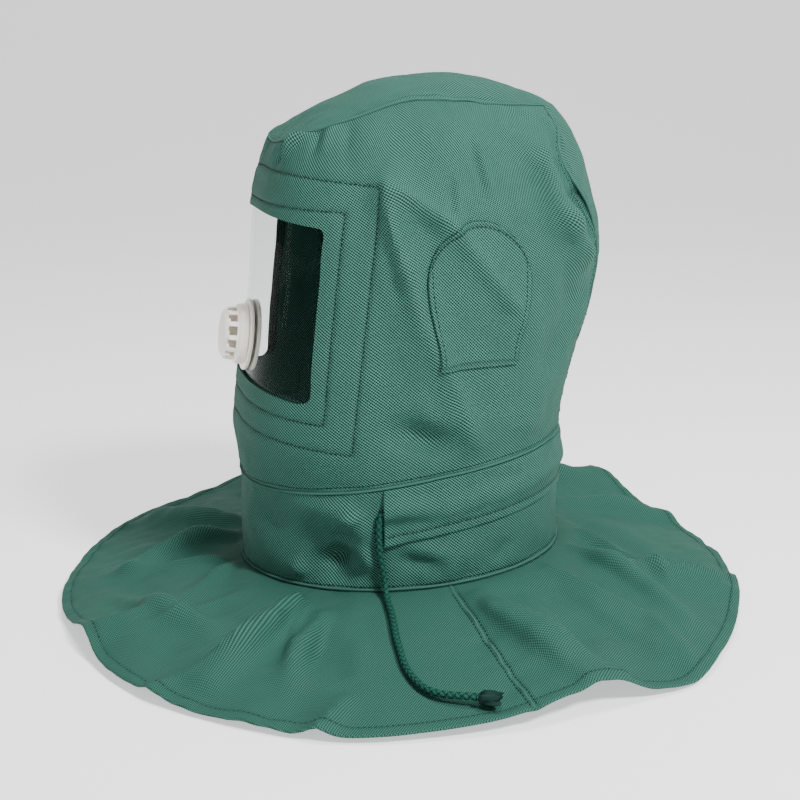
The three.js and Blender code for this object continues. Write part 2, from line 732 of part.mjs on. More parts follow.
function visor() {
  const sheet = sheetBehindWindow(visorLap, visorLap, visorWall, visorDepth);
  const hole = new THREE.CylinderGeometry(spigotRadius + pieceGap, spigotRadius + pieceGap,
    20 * visorWall, 24);
  const cutter = solidOf(onValveAxis(stripped(hole)));
  return geometryOf(solidOf(sheet).subtract(cutter));
}

function windowFacing() {
  const depth = visorDepth + visorWall + layerGap;
  const sheet = sheetBehindWindow(frameBorder * 0.6, frameBorder * 0.6, facingWall, depth);
  return geometryOf(solidOf(sheet).subtract(windowCutter(facingReveal)));
}

function valveFlange() {
  const back = -visorWall - visorSag - pieceGap - flangeWall;
  return onValveAxis(turned([
    [spigotBore, back],
    [spigotRadius, back],
    [spigotRadius, pieceGap],
    [flangeRadius - 1, pieceGap],
    [flangeRadius, pieceGap + 0.8],
    [flangeRadius, pieceGap + flangeWall - 0.8],
    [flangeRadius - 0.8, pieceGap + flangeWall],
    [spigotBore, pieceGap + flangeWall],
    [spigotBore, back],
  ], 24));
}

function valveClampRing() {
  const front = -visorWall - visorSag - pieceGap;
  const bore = spigotRadius + pieceGap;
  return onValveAxis(turned([
    [bore, front],
    [bore, front - flangeWall],
    [flangeRadius - 1.5, front - flangeWall],
    [flangeRadius, front - flangeWall + 1],
    [flangeRadius, front],
    [bore, front],
  ], 24));
}

function valveCage() {
  const foot = flangeWall + 2 * pieceGap;
  const face = foot + cageDepth;
  const shoulder = foot + cageDepth * 0.40;
  const inner = cageRadius - cageWall;
  const cup = turned([
    [0, face],
    [cageFaceRadius, face],
    [cageRadius - 0.6, face - 3.2],
    [cageRadius, shoulder + 0.8],
    [collarRadius - 0.6, shoulder - 0.6],
    [collarRadius, shoulder - 2.4],
    [collarRadius, foot + 0.6],
    [collarRadius - 0.6, foot],
    [inner, foot],
    [inner, face - 3.4],
    [cageFaceRadius - 1.4, face - cageWall],
    [0, face - cageWall],
  ], 24);
  let solid = solidOf(cup);
  const pitch = 2 * Math.PI / cageSlots;
  const slotWidth = cageRadius * pitch * 0.64;
  const slotMiddle = shoulder + 1.4 + cageSlotDepth / 2;
  for (let i = 0; i < cageSlots; i += 1) {
    const slot = new THREE.BoxGeometry(cageWall * 5, cageSlotDepth, slotWidth);
    slot.translate(cageRadius, slotMiddle, 0);
    slot.rotateY((i + 0.5) * pitch);
    solid = solid.subtract(solidOf(slot));
  }
  return onValveAxis(geometryOf(solid));
}

// Arch-shaped patch over the ear
function earPatch(side) {
  const middle = side * patchAzimuth;
  const halfWidth = patchWidth / 2;
  const reach = bodyBase(patchAzimuth, 0.5);
  const perDegree = Math.hypot(reach.x, reach.y) * degrees;
  const shoulder = patchHeight - halfWidth;
  const places = steps(-1, 1, 10).map((t) => Math.sin(t * Math.PI / 2) * 0.995);
  const heightOf = (t) => shoulder * 0.9 + (patchHeight - shoulder * 0.9) * Math.sqrt(1 - t * t);
  const where = (t, share) => {
    const height = share * heightOf(t);
    const taper = patchFoot / patchWidth;
    const pull = smoothstep(height, 0, shoulder);
    const width = halfWidth * (taper + (1 - taper) * pull);
    const azimuth = middle + t * width / perDegree;
    const level = levelAt(azimuth, neckSide + patchTop - patchHeight + height);
    return [azimuth, level];
  };
  const point = (t, share) => bodyPoint(...where(t, share));
  const normal = (t, share) => bodyNormal(...where(t, share));
  return cloth(point, normal, places, steps(0, 1, 7), patchWall, -patchGap - patchWall, false);
}

// Neck band, and the strip on it that holds the cord
const bandLevels = [0, 0.2, 0.4, 0.6, 0.8, 1];
const frontPlaces = steps(-channelEnd, channelEnd, frontColumns);
const backPlaces = steps(channelEnd, 360 - channelEnd, channelColumns);

function neckBand() {
  const places = frontPlaces.concat(backPlaces.slice(1, -1));
  const shift = pieceGap / bandHeight;
  const levels = bandLevels.slice();
  levels[0] = shift;
  levels[levels.length - 1] = 1 - shift / 2;
  return cloth(bandPoint, bandNormal, places, levels, clothWall, 0, true);
}

function channelLevel(azimuth, share) {
  const height = bodyBase(azimuth, 0).z - neckPoint(azimuth).z;
  return 1 - channelHeight / height * (1 - share) - share * 1.5 / height;
}

// How far the strip stands off the band: share 0 is its lower edge, stand 1 clears the cord
const channelShape = [
  { share: 0.00, stand: 0.00 },
  { share: 0.28, stand: 0.22 },
  { share: 0.43, stand: 1.00 },
  { share: 0.71, stand: 1.00 },
  { share: 0.86, stand: 0.30 },
  { share: 1.00, stand: 0.00 },
];

function channelOffset(share) {
  const row = channelShape.find((item) => item.share === share);
  const room = cordDiameter + 6 * pieceGap;
  return layerGap + (room - layerGap) * row.stand;
}

function cordChannel() {
  const point = (azimuth, share) => {
    const level = channelLevel(azimuth, share);
    return bandPoint(azimuth, level)
      .addScaledVector(bandNormal(azimuth, level), channelOffset(share) + clothWall);
  };
  const normal = (azimuth, share) => bandNormal(azimuth, channelLevel(azimuth, share));
  const shares = channelShape.map((row) => row.share);
  return cloth(point, normal, backPlaces, shares, clothWall, 0, false);
}

// Round cord swept along a smooth curve
function sweep(points, radius, pieces) {
  const curve = new THREE.CatmullRomCurve3(points, false, 'centripetal');
  const section = new THREE.Shape();
  const sides = 8;
  for (let i = 0; i < sides; i += 1) {
    const turn = i / sides * 2 * Math.PI;
    const x = radius * Math.cos(turn);
    const y = radius * Math.sin(turn);
    if (i === 0) {
      section.moveTo(x, y);
    } else {
      section.lineTo(x, y);
    }
  }
  section.closePath();
  const tube = new THREE.ExtrudeGeometry(section, {
    steps: pieces, extrudePath: curve, bevelEnabled: false,
  });
  return facesOut(mergeVertices(stripped(tube), 1e-4));
}

function heldCord() {
  const end = tailHang[0][0] + pieceGap / (neckWidth / 2) / degrees;
  const points = steps(end, 360 - end, 32).map((azimuth) => {
    const rise = smoothstep(Math.abs(azimuth - 180), 90, 180 - end);
    const level = channelLevel(azimuth, 0.5 + 0.13 * rise);
    const out = cordDiameter / 2 + 2 * pieceGap;
    return bandPoint(azimuth, level).addScaledVector(bandNormal(azimuth, level), out);
  });
  return sweep(points, cordDiameter / 2, 40);
}

function tailPoints(side) {
  const hanging = tailHang.map(([azimuth, out, height]) => {
    const neck = neckPoint(side * azimuth);
    const point = neck.addScaledVector(new THREE.Vector3(neck.x, neck.y, 0).normalize(), out);
    return point.setZ(height);
  });
  const lying = tailLie.map(([azimuth, share, lift]) => {
    const neck = neckPoint(azimuth);
    const run = capeRadius - neckDepth / 2;
    const radius = Math.hypot(neck.x, neck.y) + share * run;
    const inner = capePoint(side * azimuth, 0);
    const outer = capePoint(side * azimuth, 1);
    const innerRadius = Math.hypot(inner.x, inner.y);
    const reach = (radius - innerRadius) / (Math.hypot(outer.x, outer.y) - innerRadius);
    const point = capePoint(side * azimuth, reach);
    return point.setZ(point.z + cordDiameter / 2 + 3 * pieceGap + lift);
  });
  return hanging.concat(lying);
}

function cordTail(side) {
  return sweep(tailPoints(side), cordDiameter / 2, 18);
}

function cordTip(side) {
  const points = tailPoints(side);
  const end = points[points.length - 1];
  const heading = end.clone().sub(points[points.length - 2]).normalize();
  const tip = turned([
    [0, pieceGap],
    [cordDiameter / 2 + 0.6, pieceGap],
    [cordTipRadius, pieceGap + 2.5],
    [cordTipRadius, cordTipLength - 2],
    [cordTipRadius - 1.4, cordTipLength],
    [0, cordTipLength],
  ], 10);
  const turn = new THREE.Quaternion().setFromUnitVectors(new THREE.Vector3(0, 1, 0), heading);
  tip.applyQuaternion(turn);
  tip.translate(end.x, end.y, end.z);
  return tip;
}

// Cape halves, which meet at the side seams
function capeHalf(from, to) {
  const gap = pieceGap / 2 / (neckWidth / 2) / degrees;
  const places = steps(from + gap, to - gap, 32);
  const levels = [0, 0.08, 0.22, 0.38, 0.54, 0.70, 0.86, 1];
  return cloth(capePoint, capeNormal, places, levels, clothWall, 0, false);
}

// Finishes
const hoodCloth = { color: 0x3f7b66, roughness: 0.85, metalness: 0 };
const capeCloth = { color: 0x3a765f, roughness: 0.88, metalness: 0 };
const cordYarn = { color: 0x1f5a48, roughness: 0.75, metalness: 0 };
const ivoryPlastic = { color: 0xeee3d6, roughness: 0.4, metalness: 0 };
const clearPlastic = {
  color: 0xdfe6e4, roughness: 0.08, metalness: 0, transparent: true, opacity: 0.3,
};

const hood = new THREE.Group();

function add(name, geometry, finish) {
  const mesh = new THREE.Mesh(geometry, new THREE.MeshStandardMaterial(finish));
  mesh.name = name;
  hood.add(mesh);
}

add('hood_wrap', hoodWrap(), hoodCloth);
add('crown_gusset', crownGusset(), hoodCloth);
add('window_facing', windowFacing(), hoodCloth);
add('visor', visor(), clearPlastic);
add('valve_flange', valveFlange(), ivoryPlastic);
add('valve_clamp_ring', valveClampRing(), ivoryPlastic);
add('valve_cage', valveCage(), ivoryPlastic);
add('ear_patch_left', earPatch(1), hoodCloth);
add('ear_patch_right', earPatch(-1), hoodCloth);
add('neck_band', neckBand(), hoodCloth);
add('cord_channel', cordChannel(), hoodCloth);
add('drawcord_held', heldCord(), cordYarn);
add('drawcord_tail_left', cordTail(1), cordYarn);
add('drawcord_tail_right', cordTail(-1), cordYarn);
add('cord_tip_left', cordTip(1), cordYarn);
add('cord_tip_right', cordTip(-1), cordYarn);
add('cape_front', capeHalf(-capeSeamAzimuth, capeSeamAzimuth), capeCloth);
add('cape_back', capeHalf(capeSeamAzimuth, 360 - capeSeamAzimuth), capeCloth);

// The origin is the place inside the crown where a head carries the hood
const seat = gussetPoint(0, crownSteps * 0.65);
hood.position.set(0, -seat.y, -(seat.z - clothWall));

export default hood;
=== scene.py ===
import math

import bpy
import numpy as np
from mathutils import Matrix, Vector


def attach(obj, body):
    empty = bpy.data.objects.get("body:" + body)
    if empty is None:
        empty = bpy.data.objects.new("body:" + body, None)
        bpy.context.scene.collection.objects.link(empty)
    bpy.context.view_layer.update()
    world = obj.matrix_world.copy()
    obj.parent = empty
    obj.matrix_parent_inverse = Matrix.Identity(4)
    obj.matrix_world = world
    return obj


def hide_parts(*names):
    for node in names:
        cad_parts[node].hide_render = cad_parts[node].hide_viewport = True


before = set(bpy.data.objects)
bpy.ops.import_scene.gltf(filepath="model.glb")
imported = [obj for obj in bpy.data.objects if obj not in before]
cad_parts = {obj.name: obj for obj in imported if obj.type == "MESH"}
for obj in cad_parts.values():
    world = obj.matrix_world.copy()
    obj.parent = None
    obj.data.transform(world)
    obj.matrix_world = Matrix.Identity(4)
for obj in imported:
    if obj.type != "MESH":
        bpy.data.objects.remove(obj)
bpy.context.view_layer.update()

# Sizes in millimetres, with heights counted from the hem of the cape
CLOTH_WALL = 1.6
PIECE_GAP = 0.3
LAYER_GAP = 0.6
CAPE_RISE = 35
CAPE_RADIUS = 268
CAPE_SEAM_AZIMUTH = 94
NECK_WIDTH = 221
NECK_DEPTH = 248
NECK_TILT = 5
BAND_HEIGHT = 81
BODY_RISE = 277
BODY_DEPTH = 276
BODY_WIDTH = 214
WINDOW_WIDTH = 176
WINDOW_HEIGHT = 122
WINDOW_SILL = 60
WINDOW_CORNER = 7
SILL_DROOP = 7
LINTEL_DROOP = 6
FRAME_BORDER = 34
FACING_WALL = 1.2
FACING_REVEAL = 1.2
VISOR_WALL = 0.8
VISOR_LAP = 9
FLANGE_RADIUS = 26.5
FLANGE_WALL = 2.6
SPIGOT_RADIUS = 16
SPIGOT_BORE = 13.5
COLLAR_RADIUS = 22.5
CAGE_RADIUS = 20
CAGE_FACE_RADIUS = 15.5
CAGE_DEPTH = 17
CAGE_WALL = 1.8
CAGE_SLOTS = 12
CAGE_SLOT_DEPTH = 6.5
PATCH_WIDTH = 77
PATCH_HEIGHT = 102
PATCH_FOOT = 60
PATCH_AZIMUTH = 104.7
PATCH_TOP = 179
PATCH_WALL = 1.2
PATCH_GAP = 1
CHANNEL_HEIGHT = 42
CHANNEL_END = 69
CORD_DIAMETER = 4.6
CORD_TIP_RADIUS = 5.6
CORD_TIP_LENGTH = 16
CHANNEL_STITCH = 7
HEM_STITCH = 7.3
SIDE_STITCH = 2.2

# Rounded lengths that set the grids of the cloth
WRAP_RISE = 262
WRAP_HALF = 330
GUSSET_HALF = 46
GUSSET_ACROSS = 45
GUSSET_STATION = 6.5
CHANNEL_RADIUS = 120
CAPE_MIDDLE = 220

# Millimetres along the cloth for one degree
BODY_DEGREE = 1.93
PATCH_DEGREE = 1.95
CHANNEL_DEGREE = 2.1
CAPE_DEGREE = 3.3

SIDES = ((1, "left"), (-1, "right"))

# Cross sections of the hood body from the neck seam to the crown seam. The broad folds stop
# at the azimuth of the row end, and the back seam runs at that of the row seam.
SECTIONS = {
    "level": [0, 0.08, 0.25, 0.42, 0.58, 0.73, 0.85, 0.94, 1],
    "front_height": [-0.065, 0.022, 0.177, 0.332, 0.477, 0.61, 0.715, 0.787, 0.827],
    "side_height": [0, 0.076, 0.22, 0.372, 0.527, 0.675, 0.794, 0.884, 0.939],
    "back_height": [0.05, 0.112, 0.238, 0.386, 0.527, 0.664, 0.78, 0.87, 0.913],
    "ease": [1, 1.2, 1.5, 1.8, 2, 2, 2, 2, 2],
    "front": [0.446, 0.46, 0.449, 0.428, 0.41, 0.401, 0.385, 0.361, 0.344],
    "back": [0.442, 0.448, 0.478, 0.527, 0.554, 0.538, 0.504, 0.457, 0.42],
    "half": [0.508, 0.512, 0.505, 0.5, 0.495, 0.477, 0.435, 0.369, 0.29],
    "front_square": [2.15, 2.35, 2.6, 2.7, 2.7, 2.75, 2.8, 3, 3.6],
    "back_square": [2.1, 2.1, 2.15, 2.2, 2.2, 2.3, 2.4, 2.6, 3],
    "end": [161, 161, 160, 160, 161, 160, 157, 154, 152.7],
    "seam": [161, 161, 160, 160, 160, 152.5, 144, 149, 152.7],
}

# Ridge of the crown from the brow to the back corner
RIDGE = {
    "along": [0, 0.14, 0.26, 0.4, 0.52, 0.65, 0.82, 0.92, 1],
    "reach": [-0.344, -0.246, -0.163, -0.058, 0.038, 0.138, 0.274, 0.353, 0.42],
    "height": [0.827, 0.903, 0.942, 0.982, 0.996, 1, 0.973, 0.948, 0.913],
}

# Folds: from azimuth and level, to azimuth and level, height, spread
BODY_FOLDS = [
    (70, 0.79, 76, 0.6, 0.022, 0.06),
    (76, 0.6, 86, 0.34, 0.02, 0.08),
    (88, 0.22, 102, 0.06, 0.024, 0.07),
    (72, 0.78, 90, 0.7, 0.016, 0.06),
    (96, 0.66, 120, 0.46, 0.01, 0.1),
    (76, 0.14, 92, 0.1, -0.026, 0.06),
    (132, 0.86, 139, 0.7, 0.026, 0.05),
    (139, 0.7, 150, 0.58, 0.026, 0.05),
    (148, 0.74, 154, 0.64, -0.032, 0.045),
    (138, 0.3, 146, 0.44, -0.022, 0.07),
    (128, 0.1, 134, 0.22, 0.016, 0.06),
    (-72, 0.78, -84, 0.46, 0.02, 0.06),
    (-84, 0.46, -98, 0.1, 0.024, 0.065),
    (-76, 0.15, -88, 0.1, -0.022, 0.06),
    (-130, 0.84, -142, 0.6, 0.022, 0.055),
    (-140, 0.26, -146, 0.44, -0.02, 0.07),
]

# Folds of the neck band
BAND_FOLDS = [
    (48, 0.86, 60, 0.6, 0.06, 0.17),
    (44, 0.5, 52, 0.22, -0.08, 0.22),
    (12, 0.6, 22, 0.3, 0.035, 0.2),
    (-30, 0.7, -44, 0.3, -0.055, 0.22),
    (86, 0.12, 100, 0.26, 0.028, 0.14),
]

# Waves of the hem round the cape
HEM = {
    "azimuth": [0, 15, 25, 38, 52, 68, 80, 92, 105, 112, 120, 134, 148, 161, 176, 194, 205, 213,
        224, 240, 256, 270, 288, 304, 322, 341],
    "reach": [0.98, 0.965, 0.985, 1, 1.005, 1.015, 0.992, 0.98, 0.965, 0.985, 1.018, 0.995,
        0.983, 0.985, 1.005, 1.01, 1.02, 1.04, 1.01, 0.985, 1.01, 0.99, 1.012, 1, 1, 0.988],
    "lift": [0.06, 0.16, 0.07, 0, 0, 0, 0.06, 0.17, 0.27, 0.08, 0, 0.03, 0.08, 0.05, 0.06, 0.12,
        0.4, 0.75, 0.3, 0.15, 0.38, 0.2, 0.36, 0.2, 0.12, 0],
}

# Folds of the cape
CAPE_FOLDS = [
    (0, 0.02, 14, 0.36, 0.12, 0.035),
    (18, 0.58, 15, 1, 0.16, 0.035),
    (5, 0.7, 31, 0.5, 0.1, 0.035),
    (44, 0.2, 44, 0.82, 0.18, 0.04),
    (54, 0.25, 56, 0.7, 0.14, 0.035),
    (100, 0.16, 108, 0.95, 0.22, 0.05),
    (124, 0.2, 120, 0.9, -0.1, 0.045),
    (156, 0.04, 136, 0.8, 0.18, 0.04),
    (150, 0.45, 160, 1, 0.2, 0.032),
    (186, 0.2, 158, 0.62, -0.12, 0.05),
    (200, 0.3, 193, 0.98, 0.2, 0.04),
    (222, 0.15, 212, 0.9, 0.22, 0.055),
    (256, 0.12, 256, 0.92, 0.2, 0.05),
    (290, 0.12, 287, 0.92, 0.2, 0.05),
    (324, 0.1, 317, 0.8, 0.2, 0.04),
    (333, 0.05, 350, 0.62, 0.22, 0.04),
]

# Route of a free cord end: azimuth, distance from the neck line and height
TAIL_HANG = [
    (74.2, 2.9, 94.2),
    (72.3, 2.9, 94.2),
    (70, 2.9, 93),
    (68.2, 3.2, 89.6),
    (67.6, 3.8, 85),
    (67.5, 4.3, 78),
    (67.7, 4.6, 69.5),
    (68.3, 4.8, 60),
    (69, 5.2, 52),
    (69.5, 5.6, 46),
    (70, 6.9, 40.9),
    (70.4, 10, 36.9),
]

# Route of a free cord end: azimuth, share of the way to the hem, and lift
TAIL_LIE = [
    (70.9, 0.105, 0),
    (72, 0.175, 0),
    (73, 0.26, 0),
    (74.2, 0.43, 0),
    (75, 0.525, 0),
    (75.9, 0.64, 0),
    (77, 0.724, 0.2),
    (78.8, 0.818, 0.8),
    (80.9, 0.88, 1.8),
    (83.6, 0.922, 3),
    (86.2, 0.955, 3.6),
]

# Grid of the crown gusset: columns of the brow and the crown, and levels down the back
SIDE_COLUMNS = 20
BROW_COLUMNS = 3
BACK_LEVELS = [0, 0.05, 0.11, 0.17, 0.24, 0.31, 0.38, 0.45, 0.52, 0.59, 0.66, 0.73, 0.79,
               0.85, 0.90, 0.95, 1]
CROWN_STEPS = SIDE_COLUMNS - BROW_COLUMNS
BACK_STEPS = len(BACK_LEVELS) - 1
GUSSET_STEPS = CROWN_STEPS + BACK_STEPS
NECK_SIDE = CAPE_RISE + BAND_HEIGHT
BODY_ACROSS = BODY_WIDTH * 0.5 * math.radians(1)
BAND_ACROSS = NECK_WIDTH / 2 * math.radians(1)
CAPE_ACROSS = CAPE_RADIUS * 0.7 * math.radians(1)
CAPE_RUN = CAPE_RADIUS - NECK_DEPTH / 2


# ---------------------------------------------------------------- shape functions
def column(table, key, name, at, period=None):
    """Smooth curve through one column of a table."""
    x = np.array(table[key], float)
    y = np.array(table[name], float)
    if period:
        x = np.concatenate([[x[-1] - period], x, [x[0] + period, x[1] + period]])
        y = np.concatenate([[y[-1]], y, [y[0], y[1]]])
    at = np.clip(np.asarray(at, float), x[0], x[-1])
    rise = np.diff(y) / np.diff(x)
    slope = np.empty_like(y)
    slope[0] = rise[0]
    slope[-1] = rise[-1]
    before = x[1:-1] - x[:-2]
    after = x[2:] - x[1:-1]
    slope[1:-1] = (rise[:-1] * after + rise[1:] * before) / (before + after)
    i = np.clip(np.searchsorted(x, at, side="left") - 1, 0, len(x) - 2)
    h = x[i + 1] - x[i]
    t = (at - x[i]) / h
    t2 = t * t
    t3 = t2 * t
    return (y[i] * (2 * t3 - 3 * t2 + 1) + h * slope[i] * (t3 - 2 * t2 + t)
            + y[i + 1] * (3 * t2 - 2 * t3) + h * slope[i + 1] * (t3 - t2))


def smooth(value, low, high):
    t = np.clip((np.asarray(value, float) - low) / (high - low), 0, 1)
    return t * t * (3 - 2 * t)


def grids(a, b):
    return np.broadcast_arrays(np.asarray(a, float), np.asarray(b, float))


def outward(p):
    q = p.copy()
    q[..., 2] = 0
    return q / np.linalg.norm(q, axis=-1, keepdims=True)


def beside(line, azimuth, level, across, up):
    """Share along a straight line of the cloth, and distance from it, of each place."""
    a0, l0, a1, l1 = line[:4]
    run_a = (a1 - a0) * across
    run_l = (l1 - l0) * up
    turn = azimuth - a0
    turn = (turn - 360 * np.round(turn / 360)) * across
    rise = (level - l0) * up
    share = np.clip((turn * run_a + rise * run_l) / (run_a ** 2 + run_l ** 2), 0, 1)
    return share, np.hypot(turn - share * run_a, rise - share * run_l)


def fold_height(folds, azimuth, level, across, up, size):
    total = 0
    for fold in folds:
        away = beside(fold, azimuth, level, across, up)[1] / (fold[5] * size)
        total = total + fold[4] * np.exp(-away * away)
    return total


def crease_height(creases, azimuth, level, across, up, sharp=0):
    """Height of creases, each fading out at an end that no other crease continues.

    A crease that starts where the one before it ends makes one line with it.
    """
    ends = [row[:2] for row in creases] + [row[2:4] for row in creases]
    total = chain = 0
    last = None
    for crease in creases:
        start, end, height, spread = crease[:2], crease[2:4], crease[4], crease[5]
        if start != last:
            total = total + chain
            chain = 0
        last = end
        share, away = beside(crease, azimuth, level, across, up)
        if sharp:
            away = np.sqrt((np.sqrt(away ** 2 + sharp ** 2) - sharp) / spread)
        else:
            away = away / spread
        fade = 1.0
        if ends.count(start) == 1:
            fade = smooth(share, 0, 0.45)
        if ends.count(end) == 1:
            fade = fade * (1 - smooth(share, 0.55, 1))
        rise = fade * height * np.exp(-away * away)
        chain = np.where(np.abs(rise) > np.abs(chain), rise, chain)
    return total + chain


def back_seam(level):
    return column(SECTIONS, "level", "seam", level)


def body_base(azimuth, level):
    azimuth, level = grids(azimuth, level)
    turn = np.radians(azimuth)
    c = np.cos(turn)
    s = np.abs(np.sin(turn))
    row = {name: column(SECTIONS, "level", name, level) for name in SECTIONS if name != "level"}
    front = np.maximum(c, 0) ** row["ease"]
    back = np.maximum(-c, 0) ** row["ease"]
    height = (front * row["front_height"] + (1 - front - back) * row["side_height"]
              + back * row["back_height"])
    reach = BODY_DEPTH * np.where(c > 0, row["front"], row["back"])
    power = np.where(c > 0, row["front_square"], row["back_square"])
    radius = ((s / (BODY_WIDTH * row["half"])) ** power
              + (np.abs(c) / reach) ** power) ** (-1 / power)
    return np.stack([radius * np.sin(turn), -radius * c, NECK_SIDE + BODY_RISE * height], -1)


def body(azimuth, level):
    point = body_base(azimuth, level)
    end = column(SECTIONS, "level", "end", level)
    edges = (smooth(level, 0.01, 0.10) * (1 - smooth(level, 0.90, 0.99))
             * (1 - smooth(np.abs(azimuth), end - 14, end - 3)))
    folds = fold_height(BODY_FOLDS, azimuth, level, BODY_ACROSS, BODY_RISE, BODY_WIDTH)
    return point + outward(point) * (BODY_WIDTH * edges * folds)[..., None]


def neck(azimuth):
    turn = np.radians(np.asarray(azimuth, float))
    radius = 1 / np.hypot(np.sin(turn) / (NECK_WIDTH / 2), np.cos(turn) / (NECK_DEPTH / 2))
    return np.stack([radius * np.sin(turn), -radius * np.cos(turn),
                     CAPE_RISE - NECK_TILT * np.cos(turn)], -1)


def band(azimuth, level):
    azimuth, level = grids(azimuth, level)
    low = neck(azimuth)
    high = body_base(azimuth, 0 * level)
    point = low + (high - low) * level[..., None]
    fade = smooth(level, 0, 0.14) * (1 - smooth(level, 0.86, 1))
    folds = fold_height(BAND_FOLDS, azimuth, level, BAND_ACROSS, BAND_HEIGHT, BAND_HEIGHT)
    return point + outward(point) * (fade * BAND_HEIGHT * folds)[..., None]


def cape(azimuth, reach):
    azimuth, reach = grids(azimuth, reach)
    turn = np.radians(azimuth)
    around = azimuth % 360
    inner = neck(azimuth)
    inner = inner - outward(inner) * CLOTH_WALL
    hem = CAPE_RADIUS * column(HEM, "azimuth", "reach", around, 360)
    lift = CAPE_RISE * column(HEM, "azimuth", "lift", around, 360)
    outer = np.stack([hem * np.sin(turn), -hem * np.cos(turn), CLOTH_WALL + lift], -1)
    point = inner + (outer - inner) * reach[..., None]
    folds = fold_height(CAPE_FOLDS, azimuth, reach, CAPE_ACROSS, CAPE_RUN, CAPE_RADIUS)
    point[..., 2] += -lift * reach * (1 - reach) + smooth(reach, 0.03, 0.25) * CAPE_RISE * folds
    return point


def gusset_level(station):
    place = BACK_STEPS - (station - CROWN_STEPS)
    return np.interp(place, range(BACK_STEPS + 1), BACK_LEVELS)


def gusset_edge(station):
    crown = body_base((BROW_COLUMNS + np.minimum(station, CROWN_STEPS)) / SIDE_COLUMNS
                      * back_seam(1), 1)
    level = gusset_level(np.maximum(station, CROWN_STEPS))
    back = body_base(back_seam(level), level)
    return np.where((station <= CROWN_STEPS)[..., None], crown, back)


def gusset_ridge(station):
    along = np.minimum(station, CROWN_STEPS) / CROWN_STEPS
    crown = np.stack([0 * along, BODY_DEPTH * column(RIDGE, "along", "reach", along),
                      NECK_SIDE + BODY_RISE * column(RIDGE, "along", "height", along)], -1)
    back = body_base(180 + 0 * along, gusset_level(np.maximum(station, CROWN_STEPS)))
    return np.where((station <= CROWN_STEPS)[..., None], crown, back)


def arched(across, station):
    """The gusset as an arch from edge to edge at each station."""
    edge = gusset_edge(station)
    point = edge.copy()
    point[..., 0] *= across
    point[..., 1:] += (gusset_ridge(station) - edge)[..., 1:] * (1 - across * across)[..., None]
    return point


def gusset(across, station):
    across, at = grids(across, np.clip(station, 0, GUSSET_STEPS))
    point = arched(across, at)
    share = (1 - smooth(at, 0, 3))[..., None]
    brow = body_base(across * BROW_COLUMNS / SIDE_COLUMNS * back_seam(1), 1)
    return point + share * (brow - arched(across, 0 * at))


SEAT = gusset(0.0, CROWN_STEPS * 0.65)
OFFSET = np.array([0.0, SEAT[1], SEAT[2] - CLOTH_WALL])


def to_frame(p):
    return (np.asarray(p) - OFFSET) / 1000


def level_at(azimuth, height):
    """Level of the body at a height."""
    azimuth, height = grids(azimuth, height)
    low = np.zeros_like(height)
    high = np.ones_like(height)
    for _ in range(30):
        middle = (low + high) / 2
        under = body_base(azimuth, middle)[..., 2] < height
        low = np.where(under, middle, low)
        high = np.where(under, high, middle)
    return (low + high) / 2


def normals(surface, a, b, step_a, step_b):
    da = surface(a + step_a, b) - surface(a - step_a, b)
    db = surface(a, b + step_b) - surface(a, b - step_b)
    n = np.cross(da, db)
    return n / np.maximum(np.linalg.norm(n, axis=-1, keepdims=True), 1e-9)


def body_normal(a, b):
    return normals(body, a, np.clip(b, 0.004, 0.996), 0.5, 0.004)


def band_normal(a, b):
    n = normals(band, a, np.clip(b, 0.01, 0.99), 0.5, 0.01)
    return outward(n)


def cape_normal(a, b):
    return -normals(cape, a, np.clip(b, 0.01, 0.99), 0.5, 0.01)


def gusset_normal(a, b):
    return normals(gusset, np.clip(a, -0.98, 0.98), np.clip(b, 0.05, GUSSET_STEPS - 0.05),
                   0.02, 0.05)


class Waves:
    """Smooth, fixed unevenness of cloth: a sum of slanted waves."""

    def __init__(self, seed, length, count=14):
        rng = np.random.RandomState(seed)
        way = rng.normal(size=(count, 3))
        way /= np.linalg.norm(way, axis=1, keepdims=True)
        self.k = way * (2 * math.pi / (length * rng.uniform(0.7, 1.5, (count, 1))))
        self.phase = rng.uniform(0, 2 * math.pi, count)

    def __call__(self, p):
        return np.sin(p @ self.k.T + self.phase).sum(-1) / math.sqrt(len(self.phase))


broad = Waves(3, 46)
middling = Waves(8, 19)
tight = Waves(21, 9)


def ticks(length, step, fine=(0.0, 0.4, 0.9, 1.6, 2.6, 4.0, 6.0)):
    """Distances along a side, closer together near both ends."""
    inner = np.linspace(fine[-1], length - fine[-1], int((length - 2 * fine[-1]) / step) + 1)
    return np.concatenate([fine[:-1], inner, (length - np.array(fine[:-1]))[::-1]])


def rolled(distance, radius):
    """How far a cloth's face drops where its edge is rolled over."""
    d = np.clip(distance, 0, radius)
    return -(radius - np.sqrt(np.maximum(radius ** 2 - (radius - d) ** 2, 0)))


def walls(outer, n, drop):
    """Outer and inner face of a cloth whose edges are rolled over."""
    outer = outer + n * drop[..., None]
    return outer, outer - n * (CLOTH_WALL + drop * 0.9)[..., None]


def arc(points, axis):
    step = np.linalg.norm(np.diff(points, axis=axis), axis=-1)
    start = np.zeros_like(np.take(step, [0], axis=axis))
    return np.concatenate([start, np.cumsum(step, axis=axis)], axis=axis)


# ---------------------------------------------------------------- building meshes
def new_object(name, vertices, faces):
    mesh = bpy.data.meshes.new(name)
    mesh.from_pydata([tuple(v) for v in vertices], [], [tuple(f) for f in faces])
    mesh.update()
    obj = bpy.data.objects.new(name, mesh)
    bpy.context.scene.collection.objects.link(obj)
    return obj


def write_uv(obj, name, pairs):
    layer = obj.data.uv_layers.new(name=name)
    layer.data.foreach_set("uv", np.asarray(pairs, np.float32).reshape(-1))


